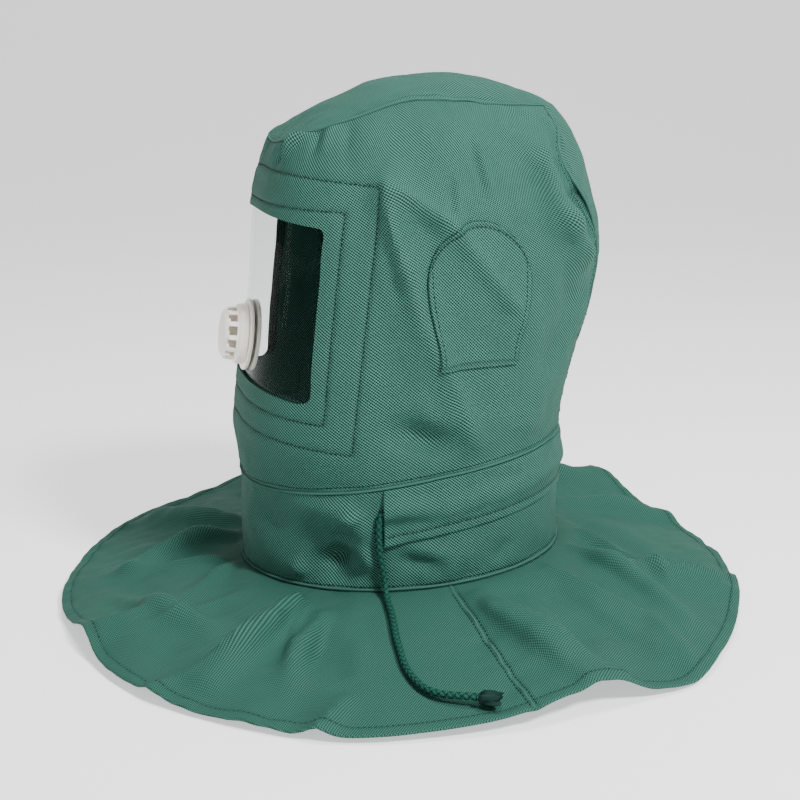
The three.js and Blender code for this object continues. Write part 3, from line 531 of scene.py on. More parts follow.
def only(obj):
    bpy.ops.object.select_all(action="DESELECT")
    obj.select_set(True)
    bpy.context.view_layer.objects.active = obj


def stood_at(point, way):
    """The place of a shape that stands at a point and looks along a way."""
    turn = Vector((0, 0, 1)).rotation_difference(Vector(way)).to_matrix().to_4x4()
    return Matrix.Translation(Vector(to_frame(point))) @ turn


def settled(obj, place):
    """Moves a finished shape to its place and keeps the object itself at the origin."""
    obj.matrix_world = place @ obj.matrix_world
    only(obj)
    bpy.ops.object.transform_apply(location=True, rotation=True, scale=True)
    return obj


def shade(obj, angle):
    only(obj)
    bpy.ops.object.shade_smooth_by_angle(angle=math.radians(angle))


def cloth(name, outer, inner, uv, seam, closed=False):
    """A closed sheet of cloth between two grids of points, with its flat places as UVs."""
    rows, columns = outer.shape[:2]
    half = rows * columns
    r, c = np.meshgrid(np.arange(rows - 1), np.arange(columns - (0 if closed else 1)),
                       indexing="ij")
    nxt = (c + 1) % columns
    a, b, d, e = r * columns + c, r * columns + nxt, (r + 1) * columns + nxt, (r + 1) * columns + c
    top = np.stack([a, b, d, e], -1).reshape(-1, 4)
    low = np.stack([a, e, d, b], -1).reshape(-1, 4) + half
    i = np.arange(columns - (0 if closed else 1))
    j = (i + 1) % columns
    last = (rows - 1) * columns
    rim = [np.stack([j, i, i + half, j + half], -1),
           np.stack([last + i, last + j, last + j + half, last + i + half], -1)]
    if not closed:
        k = np.arange(rows - 1) * columns
        rim.append(np.stack([k, k + columns, k + columns + half, k + half], -1))
        k = k + columns - 1
        rim.append(np.stack([k + columns, k, k + half, k + columns + half], -1))
    faces = np.concatenate([top, low] + rim)
    vertices = to_frame(np.concatenate([outer.reshape(-1, 3), inner.reshape(-1, 3)]))
    obj = new_object(name, vertices, faces)
    flat = np.concatenate([uv.reshape(-1, 2)] * 2)
    mark = np.minimum(np.concatenate([seam.reshape(-1)] * 2), 6)
    corners = faces.reshape(-1)
    place = flat[corners]
    if closed:
        around = uv[..., 0].max() + np.linalg.norm(outer[0, 0] - outer[0, -1])
        face_u = place[:, 0].reshape(-1, 4)
        wraps = (face_u.max(1) - face_u.min(1)) > around / 2
        face_u[wraps] = np.where(face_u[wraps] < around / 2, face_u[wraps] + around,
                                 face_u[wraps])
        place[:, 0] = face_u.reshape(-1)
    write_uv(obj, "flat", place / 1000)
    # The second map holds the distance to the nearest stitch line, along which the cloth material
    # paints shade
    write_uv(obj, "seam", np.stack([mark[corners] / 1000, 0 * mark[corners]], -1))
    obj.data.update()
    return obj


def flat_uv(points):
    """Flat place in millimetres of each point of a grid."""
    middle = points.shape[0] // 2
    u = arc(points[middle][None], 1)[0]
    v = arc(points, 0)
    return np.stack([np.broadcast_to(u, v.shape), v], -1)


def swept(name, path, radius, sides, shape=None):
    """A tube along a path in millimetres; shape gives the radius at each turn and distance."""
    path = np.asarray(path, float)
    along = arc(path, 0)
    tangent = np.gradient(path, axis=0)
    tangent /= np.linalg.norm(tangent, axis=1, keepdims=True)
    side = np.cross(tangent[0], [0, 0, 1.0])
    if np.linalg.norm(side) < 0.1:
        side = np.cross(tangent[0], [1.0, 0, 0])
    frames = []
    for t in tangent:
        side = side - t * (side @ t)
        side = side / np.linalg.norm(side)
        frames.append((side, np.cross(t, side)))
    turn = np.arange(sides) / sides * 2 * math.pi
    rings = []
    for k, (x, y) in enumerate(frames):
        r = radius if shape is None else shape(turn, along[k])
        ring = path[k] + (np.cos(turn)[:, None] * x + np.sin(turn)[:, None] * y) * np.reshape(
            r * np.ones(sides), (-1, 1))
        rings.append(ring)
    rings = np.array(rings)
    count = len(path)
    k, i = np.meshgrid(np.arange(count - 1), np.arange(sides), indexing="ij")
    j = (i + 1) % sides
    faces = np.stack([k * sides + i, k * sides + j, (k + 1) * sides + j, (k + 1) * sides + i],
                     -1).reshape(-1, 4).tolist()
    faces.append(list(range(sides))[::-1])
    faces.append([(count - 1) * sides + q for q in range(sides)])
    obj = new_object(name, to_frame(rings.reshape(-1, 3)), faces)
    u = np.tile(turn * radius, count)
    v = np.repeat(along, sides)
    loops = np.array([loop.vertex_index for loop in obj.data.loops])
    write_uv(obj, "flat", np.stack([u[loops], v[loops]], -1) / 1000)
    # The second map holds how deep each point lies below the outermost surface; the cord's
    # material paints shade from it
    away = np.linalg.norm(rings - path[:, None], axis=-1).reshape(-1)
    depth = (away - away.min()) / max(away.max() - away.min(), 1e-6)
    write_uv(obj, "seam", np.stack([depth[loops] / 1000, 0 * depth[loops]], -1))
    return obj


def read_off(at, distance, table):
    """Rows of a table at the given distances."""
    return np.stack([np.interp(at, distance, table[:, q]) for q in range(3)], -1)


def resample(points, step):
    """Points at even steps along a smooth curve through the given ones."""
    p = np.asarray(points, float)
    chord = np.concatenate([[0], np.cumsum(np.linalg.norm(np.diff(p, axis=0), axis=1) ** 0.5)])
    slope = np.gradient(p, chord, axis=0)
    t = np.linspace(0, chord[-1], 1200)
    i = np.clip(np.searchsorted(chord, t, side="right") - 1, 0, len(p) - 2)
    h = (chord[i + 1] - chord[i])[:, None]
    s = ((t - chord[i])[:, None]) / h
    dense = (p[i] * (2 * s ** 3 - 3 * s ** 2 + 1) + h * slope[i] * (s ** 3 - 2 * s ** 2 + s)
             + p[i + 1] * (3 * s ** 2 - 2 * s ** 3) + h * slope[i + 1] * (s ** 3 - s ** 2))
    length = arc(dense, 0)
    even = np.linspace(0, length[-1], max(2, int(length[-1] / step) + 1))
    return read_off(even, length, dense)


# ---------------------------------------------------------------- materials
class Value:
    """A socket with the arithmetic of shader maths."""

    def __init__(self, tree, socket):
        self.tree = tree
        self.socket = socket

    def maths(self, operation, *others):
        node = self.tree.nodes.new("ShaderNodeMath")
        node.operation = operation
        for k, item in enumerate((self,) + others):
            if isinstance(item, Value):
                self.tree.links.new(item.socket, node.inputs[k])
            else:
                node.inputs[k].default_value = item
        return Value(self.tree, node.outputs[0])

    def __add__(self, other):
        return self.maths("ADD", other)

    def __mul__(self, other):
        return self.maths("MULTIPLY", other)

    def __sub__(self, other):
        return self.maths("SUBTRACT", other)

    def __truediv__(self, other):
        return self.maths("DIVIDE", other)

    def __neg__(self):
        return self * -1.0

    def __rsub__(self, other):
        return (self * -1.0) + other

    __radd__ = __add__
    __rmul__ = __mul__


class Surface:
    """A principled material with named nodes added through one method."""

    def __init__(self, name, colour, roughness, **fixed):
        self.material = bpy.data.materials.new(name)
        self.material.use_nodes = True
        self.tree = self.material.node_tree
        self.main = self.tree.nodes["Principled BSDF"]
        self.main.inputs["Base Color"].default_value = (*colour, 1)
        self.main.inputs["Roughness"].default_value = roughness
        for key, value in fixed.items():
            self.main.inputs[key.replace("_", " ")].default_value = value

    def node(self, kind, settings=None, inputs=None, output=0):
        node = self.tree.nodes.new("ShaderNode" + kind)
        for key, value in (settings or {}).items():
            setattr(node, key, value)
        for key, value in (inputs or {}).items():
            if isinstance(value, Value):
                self.tree.links.new(value.socket, node.inputs[key])
            else:
                node.inputs[key].default_value = value
        return Value(self.tree, node.outputs[output])

    def feed(self, key, value):
        self.tree.links.new(value.socket, self.main.inputs[key])

    def place(self, layer):
        """A map of the cloth as a vector, with its two parts apart."""
        flat = self.node("UVMap", {"uv_map": layer})
        return flat, *(self.node("SeparateXYZ", None, {0: flat}, k) for k in (0, 1))

    def mix(self, share, low, high):
        low, high = (c if isinstance(c, Value) else (*c, 1) for c in (low, high))
        return self.node("Mix", {"data_type": "RGBA"}, {0: share, 6: low, 7: high}, 2)


def woven(name, dark, mid, light, pitch, depth, contrast, line=0.4):
    """Coarse twill: raised threads in slanted rows, darker between them, with shade painted in
    along the stitch lines.
    """
    made = Surface(name, mid, 0.8, Specular_IOR_Level=0.25)
    flat, u, v = made.place("flat")
    wave = 2 * math.pi / pitch
    warp = ((u + v * 0.05) * wave).maths("SINE")
    weft = ((v - u * 0.05) * wave).maths("SINE")
    rows = ((u * 0.95 + v * 1.05) * wave).maths("COSINE")
    seam = made.place("seam")[1] * 1000.0
    plain = 1 - (seam * -0.3).maths("MAXIMUM", 0.0).maths("MINIMUM", 0.7)
    thread = (warp * weft - rows * 0.22) * plain
    body_noise = made.node("TexNoise", {"noise_dimensions": "2D"},
                           {"Vector": flat, "Scale": 900.0, "Detail": 2.0})
    patches = made.node("TexNoise", {"noise_dimensions": "2D"},
                        {"Vector": flat, "Scale": 28.0, "Detail": 3.0})
    share = thread * contrast + 0.47 + (body_noise - 0.5) * 0.3
    lit = made.mix(share.maths("MINIMUM", 1.0).maths("MAXIMUM", 0.0), dark, light)
    tone = made.mix((patches - 0.38) * 0.6, lit, mid)
    # Painted shade: the base colour is pulled towards the dark colour along the stitch lines where
    # the seam's groove lies; the same dip also sinks the bump there
    dip = (seam * seam * -0.45).maths("EXPONENT")
    made.feed("Base Color", made.mix(dip * line, tone, dark))
    height = thread * 0.5 + (body_noise - 0.5) * 0.4 - dip * 2.2
    bump = made.node("Bump", None, {"Height": height, "Strength": 0.9, "Distance": depth})
    made.feed("Normal", bump)
    return made.material


# The last number of each sets how strongly shade is painted along the stitch lines
hood_cloth = woven("hood_cloth", (0.001, 0.010, 0.007), (0.012, 0.070, 0.049),
                   (0.053, 0.203, 0.151), 0.0023, 0.00036, 1.5, 0.3)
cape_cloth = woven("cape_cloth", (0.003, 0.031, 0.021), (0.012, 0.077, 0.053),
                   (0.036, 0.140, 0.103), 0.0020, 0.00018, 0.8, 0.25)


def braided():
    """Green yarn, with shade painted dark where the strands dip under each other."""
    made = Surface("cord_yarn", (0.003, 0.050, 0.035), 0.7, Specular_IOR_Level=0.2)
    depth = made.place("seam")[1] * 1000.0
    # Painted shade: near black in the hollows between strands, green on their tops
    made.feed("Base Color", made.mix(
        (depth * 1.7 - 0.7).maths("MAXIMUM", 0.0), (0.0002, 0.003, 0.002), (0.005, 0.075, 0.053)))
    return made.material


cord_yarn = braided()
welt_cloth = Surface("welt_cloth", (0.030, 0.108, 0.081), 0.8, Specular_IOR_Level=0.25).material
# Dark thread of the stitches, also used for the dashes painted as shadow in the gaps beside seams
dark_thread_and_gap_shadow = Surface("dark_thread_and_gap_shadow", (0.001, 0.011, 0.008), 0.8, Specular_IOR_Level=0.2).material
dipped = Surface("cord_dip", (0.001, 0.020, 0.015), 0.7, Specular_IOR_Level=0.2).material
ivory = Surface("ivory_plastic", (1.0, 0.93, 0.84), 0.3, Subsurface_Weight=0.25,
                Subsurface_Scale=0.004, Subsurface_Radius=(1.0, 0.7, 0.45)).material
clear = Surface("clear_visor", (0.90, 0.93, 0.92), 0.0, Transmission_Weight=1.0,
                IOR=1.08).material


def finish_piece(obj, material, *nodes, angle=40):
    shade(obj, angle)
    obj.data.materials.clear()
    obj.data.materials.append(material)
    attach(obj, "root")
    if nodes:
        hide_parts(*nodes)


# ---------------------------------------------------------------- seams on the body
def mirrored(points):
    return [(-a, z) for a, z in reversed(points)]


# The two stitch lines round the window: azimuth and height, from the top down one side
INNER_STITCH = [(0, 305), (30, 304), (55.9, 302.3), (52.5, 228), (49.4, 154.7), (25, 159.5),
                (0, 163)]
OUTER_STITCH = [(0, 328), (30, 326), (68.6, 319.3), (63.4, 226), (58.6, 133.6), (30, 141),
                (0, 146)]


def window_lines(azimuth, height):
    """Distance in millimetres to the nearest stitch line round the window."""
    best = 1e3
    for points in (INNER_STITCH, OUTER_STITCH):
        for start, end in zip(points[:-1], points[1:]):
            away = beside(start + end, np.abs(azimuth), height, BODY_DEGREE, 1)[1]
            best = np.minimum(best, away)
    return best


def frame_share(azimuth, height):
    """1 on the doubled cloth round the window, 0 well outside it."""
    side = np.abs(azimuth)
    inside = np.minimum(np.minimum(64 - side, (325 - height) / 2), (height - 138) / 2)
    return smooth(inside, -6, 4)


# Sharper creases on the body: azimuth, level, to azimuth, level, height, spread
BODY_CREASES = [
    (70, 0.785, 74.6, 0.62, 3, 4.5),
    (74.6, 0.62, 83.4, 0.44, 2.6, 6),
    (83.4, 0.44, 97.4, 0.235, 3, 7),
    (97.4, 0.235, 103.7, 0.05, 3.2, 7),
    (70.5, 0.70, 76.5, 0.48, -3.8, 6.5),
    (72, 0.15, 94, 0.07, -4, 9),
    (84, 0.30, 92, 0.14, -2.4, 7),
    (70.5, 0.795, 80.4, 0.755, 2.6, 3.6),
    (80.4, 0.755, 93.2, 0.70, 2.4, 4.5),
    (93.2, 0.70, 106.7, 0.58, 2.2, 6),
    (106.7, 0.58, 122, 0.44, 2.2, 7),
    (76, 0.72, 92, 0.655, -2.2, 6),
    (97, 0.84, 93.4, 0.66, -1.5, 3.4),
    (99, 0.83, 96, 0.67, 1.2, 3.8),
    (106.6, 0.93, 108.8, 0.72, -1.5, 3.6),
    (109.4, 0.92, 111.4, 0.74, 1.3, 4),
    (31, 1.07, 16.5, 0.90, -9.5, 5),
    (36.5, 1.07, 23, 0.90, 7, 5),
    (35.5, 1.06, 41, 0.88, -2.4, 3.2),
    (40.5, 1.06, 46, 0.88, 1.8, 3.6),
    (48, 1.04, 56.5, 0.85, -1.3, 4),
    (143, 0.96, 139, 0.845, -2.6, 6.5),
    (139, 0.845, 141, 0.77, -3.2, 6.5),
    (141, 0.77, 145, 0.705, -3, 6.5),
    (145, 0.705, 154, 0.64, -2.6, 6.5),
    (-74, 0.64, -83, 0.44, 2, 6),
    (-83, 0.44, -97, 0.235, 2.2, 7),
    (-97, 0.235, -104, 0.02, 2.2, 7),
    (-79, 0.76, -93, 0.70, 1.8, 4.8),
    (-93, 0.70, -108, 0.57, 1.8, 6),
    (137, 0.60, 146, 0.42, -2.6, 8),
    (131, 0.62, 143.5, 0.375, 1.8, 8),
    (120, 0.94, 133, 0.88, 1.4, 6),
    (-80, 0.70, -92, 0.36, 1.4, 8),
    (-100, 0.30, -118, 0.12, 1.4, 8),
    (-128, 0.84, -138, 0.66, -1.6, 5),
]


# Creases with a sharp edge, in the same columns
BODY_EDGES = [
    (150, 0.97, 135.5, 0.875, 4.8, 8),
    (135.5, 0.875, 131.5, 0.845, 4.8, 8),
    (131.5, 0.845, 132.5, 0.805, 4.8, 8),
    (132.5, 0.805, 134.7, 0.733, 4.8, 8),
    (134.7, 0.733, 140, 0.66, 4.6, 8),
    (140, 0.66, 152, 0.56, 4, 8),
    (69.5, 0.80, 74.6, 0.62, 1.6, 5),
    (74.6, 0.62, 83.4, 0.44, 1.4, 6),
    (69.5, 0.80, 80.4, 0.755, 1.6, 4.5),
    (80.4, 0.755, 93.2, 0.70, 1.4, 5),
    (93.2, 0.70, 106.7, 0.58, 1.2, 5),
    (106.7, 0.58, 124, 0.42, 1.2, 6),
]


def body_detail(azimuth, level, p):
    height = p[..., 2]
    flat = 1 - 0.75 * frame_share(azimuth, height)
    rise = column(SECTIONS, "level", "side_height", level)
    to_crown = (SECTIONS["side_height"][-1] - rise) * BODY_RISE * 1.25
    to_neck = rise * BODY_RISE + 3
    waves = 0.55 * broad(p) + 0.22 * middling(p)
    near_crown = np.exp(-to_crown / 9) * (0.75 * tight(p) + 0.7 * middling(p))
    near_neck = np.exp(-to_neck / 10) * (0.35 * tight(p) + 0.75 * middling(p * 0.8))
    creases = crease_height(BODY_CREASES, azimuth, level, BODY_ACROSS, BODY_RISE)
    creases = creases + crease_height(BODY_EDGES, azimuth, level, BODY_ACROSS, BODY_RISE,
                                      1.2) * 1.15
    lines = window_lines(azimuth, height)
    dip = -0.45 * np.exp(-(lines / 2.2) ** 2) + 0.25 * np.exp(-((lines - 5) / 3.5) ** 2)
    total = flat * (waves + near_crown + near_neck) + creases * 1.3 * flat + dip
    back = back_seam(level)
    near_back = np.exp(-np.maximum(back - np.abs(azimuth), 0) / 5.0)
    total = total + near_back * (0.8 * tight(p) + 0.5 * middling(p))
    ends = smooth(to_crown, 0, 5) * smooth(to_neck, 3, 8) * smooth(back - np.abs(azimuth), 0, 2)
    return total * ends


def body_skin(azimuth, level, out=0.0):
    azimuth, level = grids(azimuth, level)
    point = body(azimuth, level)
    n = body_normal(azimuth, level)
    return point + n * (body_detail(azimuth, level, point) + out)[..., None], n


def hood_wrap():
    up = ticks(WRAP_RISE, 2.6) / WRAP_RISE
    across = ticks(2 * WRAP_HALF, 2.5) / WRAP_HALF - 1
    place, level = np.meshgrid(across, up)
    azimuth = place * (back_seam(level) - 0.08)
    level = np.clip(level, 0.0006, 0.9994)
    outer, n = body_skin(azimuth, level)
    drop = np.minimum(rolled(np.minimum(level, 1 - level) * WRAP_RISE, 1.5),
                      rolled((1 - np.abs(place)) * WRAP_HALF, 1.5))
    base = body(azimuth, level)
    seam = np.where(level * WRAP_RISE < 2.7, -6, window_lines(azimuth, base[..., 2]))
    return cloth("hood_wrap_cloth", *walls(outer, n, drop), flat_uv(base), seam)


def window_outline(inset, count=8):
    """Closed outline of the window in x and z."""
    half = WINDOW_WIDTH / 2 - inset
    low = NECK_SIDE + WINDOW_SILL + inset
    high = NECK_SIDE + WINDOW_SILL + WINDOW_HEIGHT - inset
    r = WINDOW_CORNER
    sill = low - SILL_DROOP
    lintel = high - LINTEL_DROOP
    corners = [((-half, sill + r), (-half, sill), (-half + r, sill), count),
               ((-half + r, sill), (0, low + SILL_DROOP), (half - r, sill), 4 * count),
               ((half - r, sill), (half, sill), (half, sill + r), count),
               ((half, lintel - r), (half, lintel), (half - r, lintel), count),
               ((half - r, lintel), (0, high + LINTEL_DROOP), (-half + r, lintel), 4 * count),
               ((-half + r, lintel), (-half, lintel), (-half, lintel - r), count)]
    points = []
    for a, b, c, n in corners:
        for t in np.arange(n) / n:
            points.append([(1 - t) ** 2 * a[i] + 2 * t * (1 - t) * b[i] + t * t * c[i]
                           for i in (0, 1)])
        if c[0] in (half, -half):
            points.append(list(c))
    return np.array(points)


def cut_window(obj, inset):
    outline = window_outline(inset)
    count = len(outline)
    near = [(x, -BODY_DEPTH * 0.7, z) for x, z in outline]
    far = [(x, -WINDOW_WIDTH * 0.2, z) for x, z in outline]
    faces = [list(range(count))[::-1], list(range(count, 2 * count))]
    for i in range(count):
        j = (i + 1) % count
        faces.append([i, j, count + j, count + i])
    cutter = new_object("window_cutter", to_frame(near + far), faces)
    only(cutter)
    bpy.ops.object.mode_set(mode="EDIT")
    bpy.ops.mesh.select_all(action="SELECT")
    bpy.ops.mesh.normals_make_consistent(inside=False)
    bpy.ops.object.mode_set(mode="OBJECT")
    take_away(obj, cutter)


def take_away(obj, cutter):
    only(obj)
    cut = obj.modifiers.new("cut", "BOOLEAN")
    cut.operation = "DIFFERENCE"
    cut.solver = "EXACT"
    cut.object = cutter
    bpy.ops.object.modifier_apply(modifier="cut")
    bpy.data.objects.remove(cutter, do_unlink=True)


wrap = hood_wrap()
cut_window(wrap, 0)
finish_piece(wrap, hood_cloth, "hood_wrap")


# ---------------------------------------------------------------- crown gusset
GUSSET_CREASES = [
    (-0.2, 0.6, 0.9, 4.2, -0.9, 4),
    (0.25, 0.5, 1, 6, 0.8, 6),
    (0.2, 14, 0.9, 16.6, 0.9, 6),
    (0.3, 20.5, 0.95, 22, -1.2, 6),
    (0, 25, 0.9, 27, 1, 8),
]


def gusset_detail(across, station, p):
    edge = (1 - np.abs(across)) * np.maximum(gusset_edge(station)[..., 0], 10)
    brow = station * GUSSET_STATION
    side = np.minimum(edge, brow)
    near = np.exp(-side / 8) * (0.7 * tight(p) + 0.6 * middling(p))
    creases = crease_height(GUSSET_CREASES, across, station, GUSSET_ACROSS, GUSSET_STATION)
    total = 0.45 * broad(p) + 0.2 * middling(p) + near + creases
    return total * smooth(side, 0, 4)


def crown_gusset():
    across = ticks(2 * GUSSET_HALF, 2.4) / GUSSET_HALF - 1
    run = np.linspace(0, GUSSET_STEPS, 400)
    ridge = gusset(0.55 + 0 * run, run)
    length = arc(ridge, 0)
    marks = ticks(length[-1], 2.6)
    station = np.interp(marks, length, run)
    a, s = np.meshgrid(across, station)
    s = np.clip(s, 0.02, GUSSET_STEPS)
    width = gusset_edge(s)[..., 0]
    base = gusset(a * (1 - 0.15 / width), s)
    n = gusset_normal(a, s)
    drop = np.minimum(rolled((1 - np.abs(a)) * width, 1.5),
                      rolled(np.minimum(marks, length[-1] - marks)[:, None] + 0 * a, 1.5))
    outer = base + n * gusset_detail(a, s, base)[..., None]
    seam = np.where(np.minimum((1 - np.abs(a)) * width, marks[:, None]) < 2.7, -6, 6)
    return cloth("crown_gusset_cloth", *walls(outer, n, drop), flat_uv(base), seam)


finish_piece(crown_gusset(), hood_cloth, "crown_gusset")


# ---------------------------------------------------------------- window sheets
def sheet_behind(name, border, wall, depth, inset=None):
    """A sheet behind the window that reaches past it by a border on each side."""
    half = WINDOW_WIDTH / 2 + border
    count = 1
    while (body_base(count / SIDE_COLUMNS * back_seam(0.5), 0.5)[..., 0] < half
           and count < SIDE_COLUMNS / 2):
        count += 1
    low = NECK_SIDE + WINDOW_SILL - SILL_DROOP - border
    high = NECK_SIDE + WINDOW_SILL + WINDOW_HEIGHT + border
    up = ticks(high - low, 5.0) / (high - low)
    wide = 2 * count / SIDE_COLUMNS * WRAP_HALF
    across = (ticks(wide, 5.0) / wide * 2 - 1) * count / SIDE_COLUMNS
    share, place = np.meshgrid(up, across, indexing="ij")
    level = level_at(0.0, low + (high - low) * share)
    azimuth = place * back_seam(level)
    point = body(azimuth, level)
    n = body_normal(azimuth, level)
    outer = point - n * depth
    inner = outer - n * wall
    obj = cloth(name, outer, inner, flat_uv(point), 50 + 0 * azimuth)
    if inset is not None:
        cut_window(obj, inset)
    return obj


VISOR_DEPTH = CLOTH_WALL + LAYER_GAP
VALVE_HEIGHT = NECK_SIDE + WINDOW_SILL + FACING_REVEAL + FLANGE_RADIUS + 2 * PIECE_GAP
VALVE_LEVEL = level_at(0.0, VALVE_HEIGHT)
VALVE_NORMAL = body_normal(0.0, VALVE_LEVEL)
VALVE_SEAT = body(0.0, VALVE_LEVEL) - VALVE_NORMAL * VISOR_DEPTH
VISOR_SAG = 1.3
VALVE_PLACE = stood_at(VALVE_SEAT, VALVE_NORMAL)


def on_valve_axis(obj):
    return settled(obj, VALVE_PLACE)


facing = sheet_behind("window_facing_cloth", FRAME_BORDER * 0.6, FACING_WALL,
                      VISOR_DEPTH + VISOR_WALL + LAYER_GAP, FACING_REVEAL)
finish_piece(facing, hood_cloth, "window_facing")

visor = sheet_behind("visor_sheet", VISOR_LAP, VISOR_WALL, VISOR_DEPTH)
bpy.ops.mesh.primitive_cylinder_add(vertices=48, radius=(SPIGOT_RADIUS + PIECE_GAP) / 1000,
                                    depth=0.016)
take_away(visor, on_valve_axis(bpy.context.object))
finish_piece(visor, clear, "visor", angle=30)


# ---------------------------------------------------------------- valve
def turned(name, profile, segments):
    """A ring or cup: a circle drawn out through a profile of radius and height."""
    bpy.ops.mesh.primitive_circle_add(vertices=segments, radius=profile[0][0] / 1000,
                                      location=(0, 0, profile[0][1] / 1000))
    obj = bpy.context.object
    obj.name = name
    bpy.ops.object.transform_apply(location=True)
    bpy.ops.object.mode_set(mode="EDIT")
    bpy.ops.mesh.select_all(action="SELECT")
    for (r0, z0), (r1, z1) in zip(profile[:-1], profile[1:]):
        bpy.ops.mesh.extrude_region_move(
            TRANSFORM_OT_translate={"value": (0, 0, (z1 - z0) / 1000)})
        if r1 != r0:
            scale = max(r1, 0.001) / r0
            bpy.ops.transform.resize(value=(scale, scale, 1), center_override=(0, 0, z1 / 1000))
    bpy.ops.mesh.select_all(action="SELECT")
    bpy.ops.mesh.remove_doubles(threshold=0.00001)
    bpy.ops.mesh.normals_make_consistent(inside=False)
    bpy.ops.object.mode_set(mode="OBJECT")
    return obj


def softened(obj, width, angle=30):
    only(obj)
    bevel = obj.modifiers.new("soft", "BEVEL")
    bevel.width = width / 1000
    bevel.segments = 3
    bevel.angle_limit = math.radians(angle)
    bpy.ops.object.modifier_apply(modifier="soft")
    return obj


FLANGE_BACK = -VISOR_WALL - VISOR_SAG - PIECE_GAP
flange = turned("valve_flange_ring", [
    (SPIGOT_BORE, FLANGE_BACK - FLANGE_WALL), (SPIGOT_RADIUS, FLANGE_BACK - FLANGE_WALL),
    (SPIGOT_RADIUS, PIECE_GAP), (FLANGE_RADIUS, PIECE_GAP),
    (FLANGE_RADIUS, PIECE_GAP + FLANGE_WALL), (SPIGOT_BORE, PIECE_GAP + FLANGE_WALL),
    (SPIGOT_BORE, FLANGE_BACK - FLANGE_WALL)], 96)
on_valve_axis(softened(flange, 0.7))
finish_piece(flange, ivory, "valve_flange")

RING_BORE = SPIGOT_RADIUS + PIECE_GAP
ring = turned("valve_clamp", [
    (RING_BORE, FLANGE_BACK), (RING_BORE, FLANGE_BACK - FLANGE_WALL),
    (FLANGE_RADIUS, FLANGE_BACK - FLANGE_WALL), (FLANGE_RADIUS, FLANGE_BACK),
    (RING_BORE, FLANGE_BACK)], 96)
on_valve_axis(softened(ring, 0.6))
finish_piece(ring, ivory, "valve_clamp_ring")


def valve_cage():
    foot = FLANGE_WALL + 2 * PIECE_GAP
    face = foot + CAGE_DEPTH
    shoulder = foot + CAGE_DEPTH * 0.40
    inner = CAGE_RADIUS - CAGE_WALL
    cup = turned("valve_cage_cup", [
        (0.001, face), (CAGE_FACE_RADIUS, face), (CAGE_RADIUS - 0.6, face - 3.2),
        (CAGE_RADIUS, shoulder + 0.8), (COLLAR_RADIUS - 0.6, shoulder - 0.6),
        (COLLAR_RADIUS, shoulder - 2.4), (COLLAR_RADIUS, foot + 0.6), (COLLAR_RADIUS - 0.6, foot),
        (inner, foot), (inner, face - 3.4), (CAGE_FACE_RADIUS - 1.4, face - CAGE_WALL),
        (0.001, face - CAGE_WALL)], 96)
    pitch = 2 * math.pi / CAGE_SLOTS
    middle = shoulder + 1.4 + CAGE_SLOT_DEPTH / 2
    for i in range(CAGE_SLOTS):
        turn = (i + 0.5) * pitch
        bpy.ops.mesh.primitive_cube_add(size=1)
        slot = bpy.context.object
        slot.scale = (CAGE_WALL * 5 / 1000, CAGE_RADIUS * pitch * 0.64 / 1000,
                      CAGE_SLOT_DEPTH / 1000)
        slot.rotation_euler = (0, 0, turn)
        slot.location = (CAGE_RADIUS * math.cos(turn) / 1000,
                         CAGE_RADIUS * math.sin(turn) / 1000, middle / 1000)
        only(slot)
        bpy.ops.object.transform_apply(location=True, rotation=True, scale=True)
        take_away(cup, slot)
    return cup


finish_piece(on_valve_axis(softened(valve_cage(), 0.35, 35)), ivory, "valve_cage")


# ---------------------------------------------------------------- ear patches
def patch_place(side, t, share):
    middle = side * PATCH_AZIMUTH
    half_width = PATCH_WIDTH / 2
    reach = body_base(PATCH_AZIMUTH, 0.5)
    per_degree = math.hypot(reach[0], reach[1]) * math.radians(1)
    shoulder = PATCH_HEIGHT - half_width
    top = shoulder * 0.9 + (PATCH_HEIGHT - shoulder * 0.9) * np.sqrt(np.maximum(1 - t * t, 0))
    height = share * top
    taper = PATCH_FOOT / PATCH_WIDTH
    width = half_width * (taper + (1 - taper) * smooth(height, 0, shoulder))
    azimuth = middle + t * width / per_degree
    return azimuth, level_at(azimuth, NECK_SIDE + PATCH_TOP - PATCH_HEIGHT + height)


def patch_skin(side, t, share, out=0.0):
    azimuth, level = patch_place(side, t, share)
    point, n = body_skin(azimuth, level)
    return point + n * (PATCH_GAP * 0.7 + PATCH_WALL + 0.35 * middling(point * 1.3) * smooth(
        np.minimum(share, 1 - share), 0, 0.3) + out)[..., None], n


def ear_patch(side, name):
    half = PATCH_WIDTH / 2
    turns = ticks(2 * half * 1.3, 2.6) / (half * 1.3) - 1
    t = np.sin(turns * math.pi / 2) * 0.9995
    share = ticks(PATCH_HEIGHT, 2.8) / PATCH_HEIGHT
    s, tt = np.meshgrid(share, t, indexing="ij")
    outer, n = patch_skin(side, tt, s)
    edge = np.minimum((1 - np.abs(turns))[None, :] * half * 1.3 + 0 * s,
                      np.minimum(s, 1 - s) * PATCH_HEIGHT)
    drop = rolled(edge, 1.1)
    outer = outer + n * (drop * 0.8)[..., None]
    inner = outer - n * (PATCH_WALL + PATCH_GAP * 0.6 + drop * 0.8)[..., None]
    azimuth, level = patch_place(side, tt, s)
    base = body(azimuth, level)
    around = (azimuth - side * PATCH_AZIMUTH) * PATCH_DEGREE
    uv = np.stack([around, base[..., 2]], -1)
    return cloth(name, outer, inner, uv, np.abs(edge - 3.6))


for side, word in SIDES:
    finish_piece(ear_patch(side, "ear_patch_cloth_" + word), hood_cloth, "ear_patch_" + word)


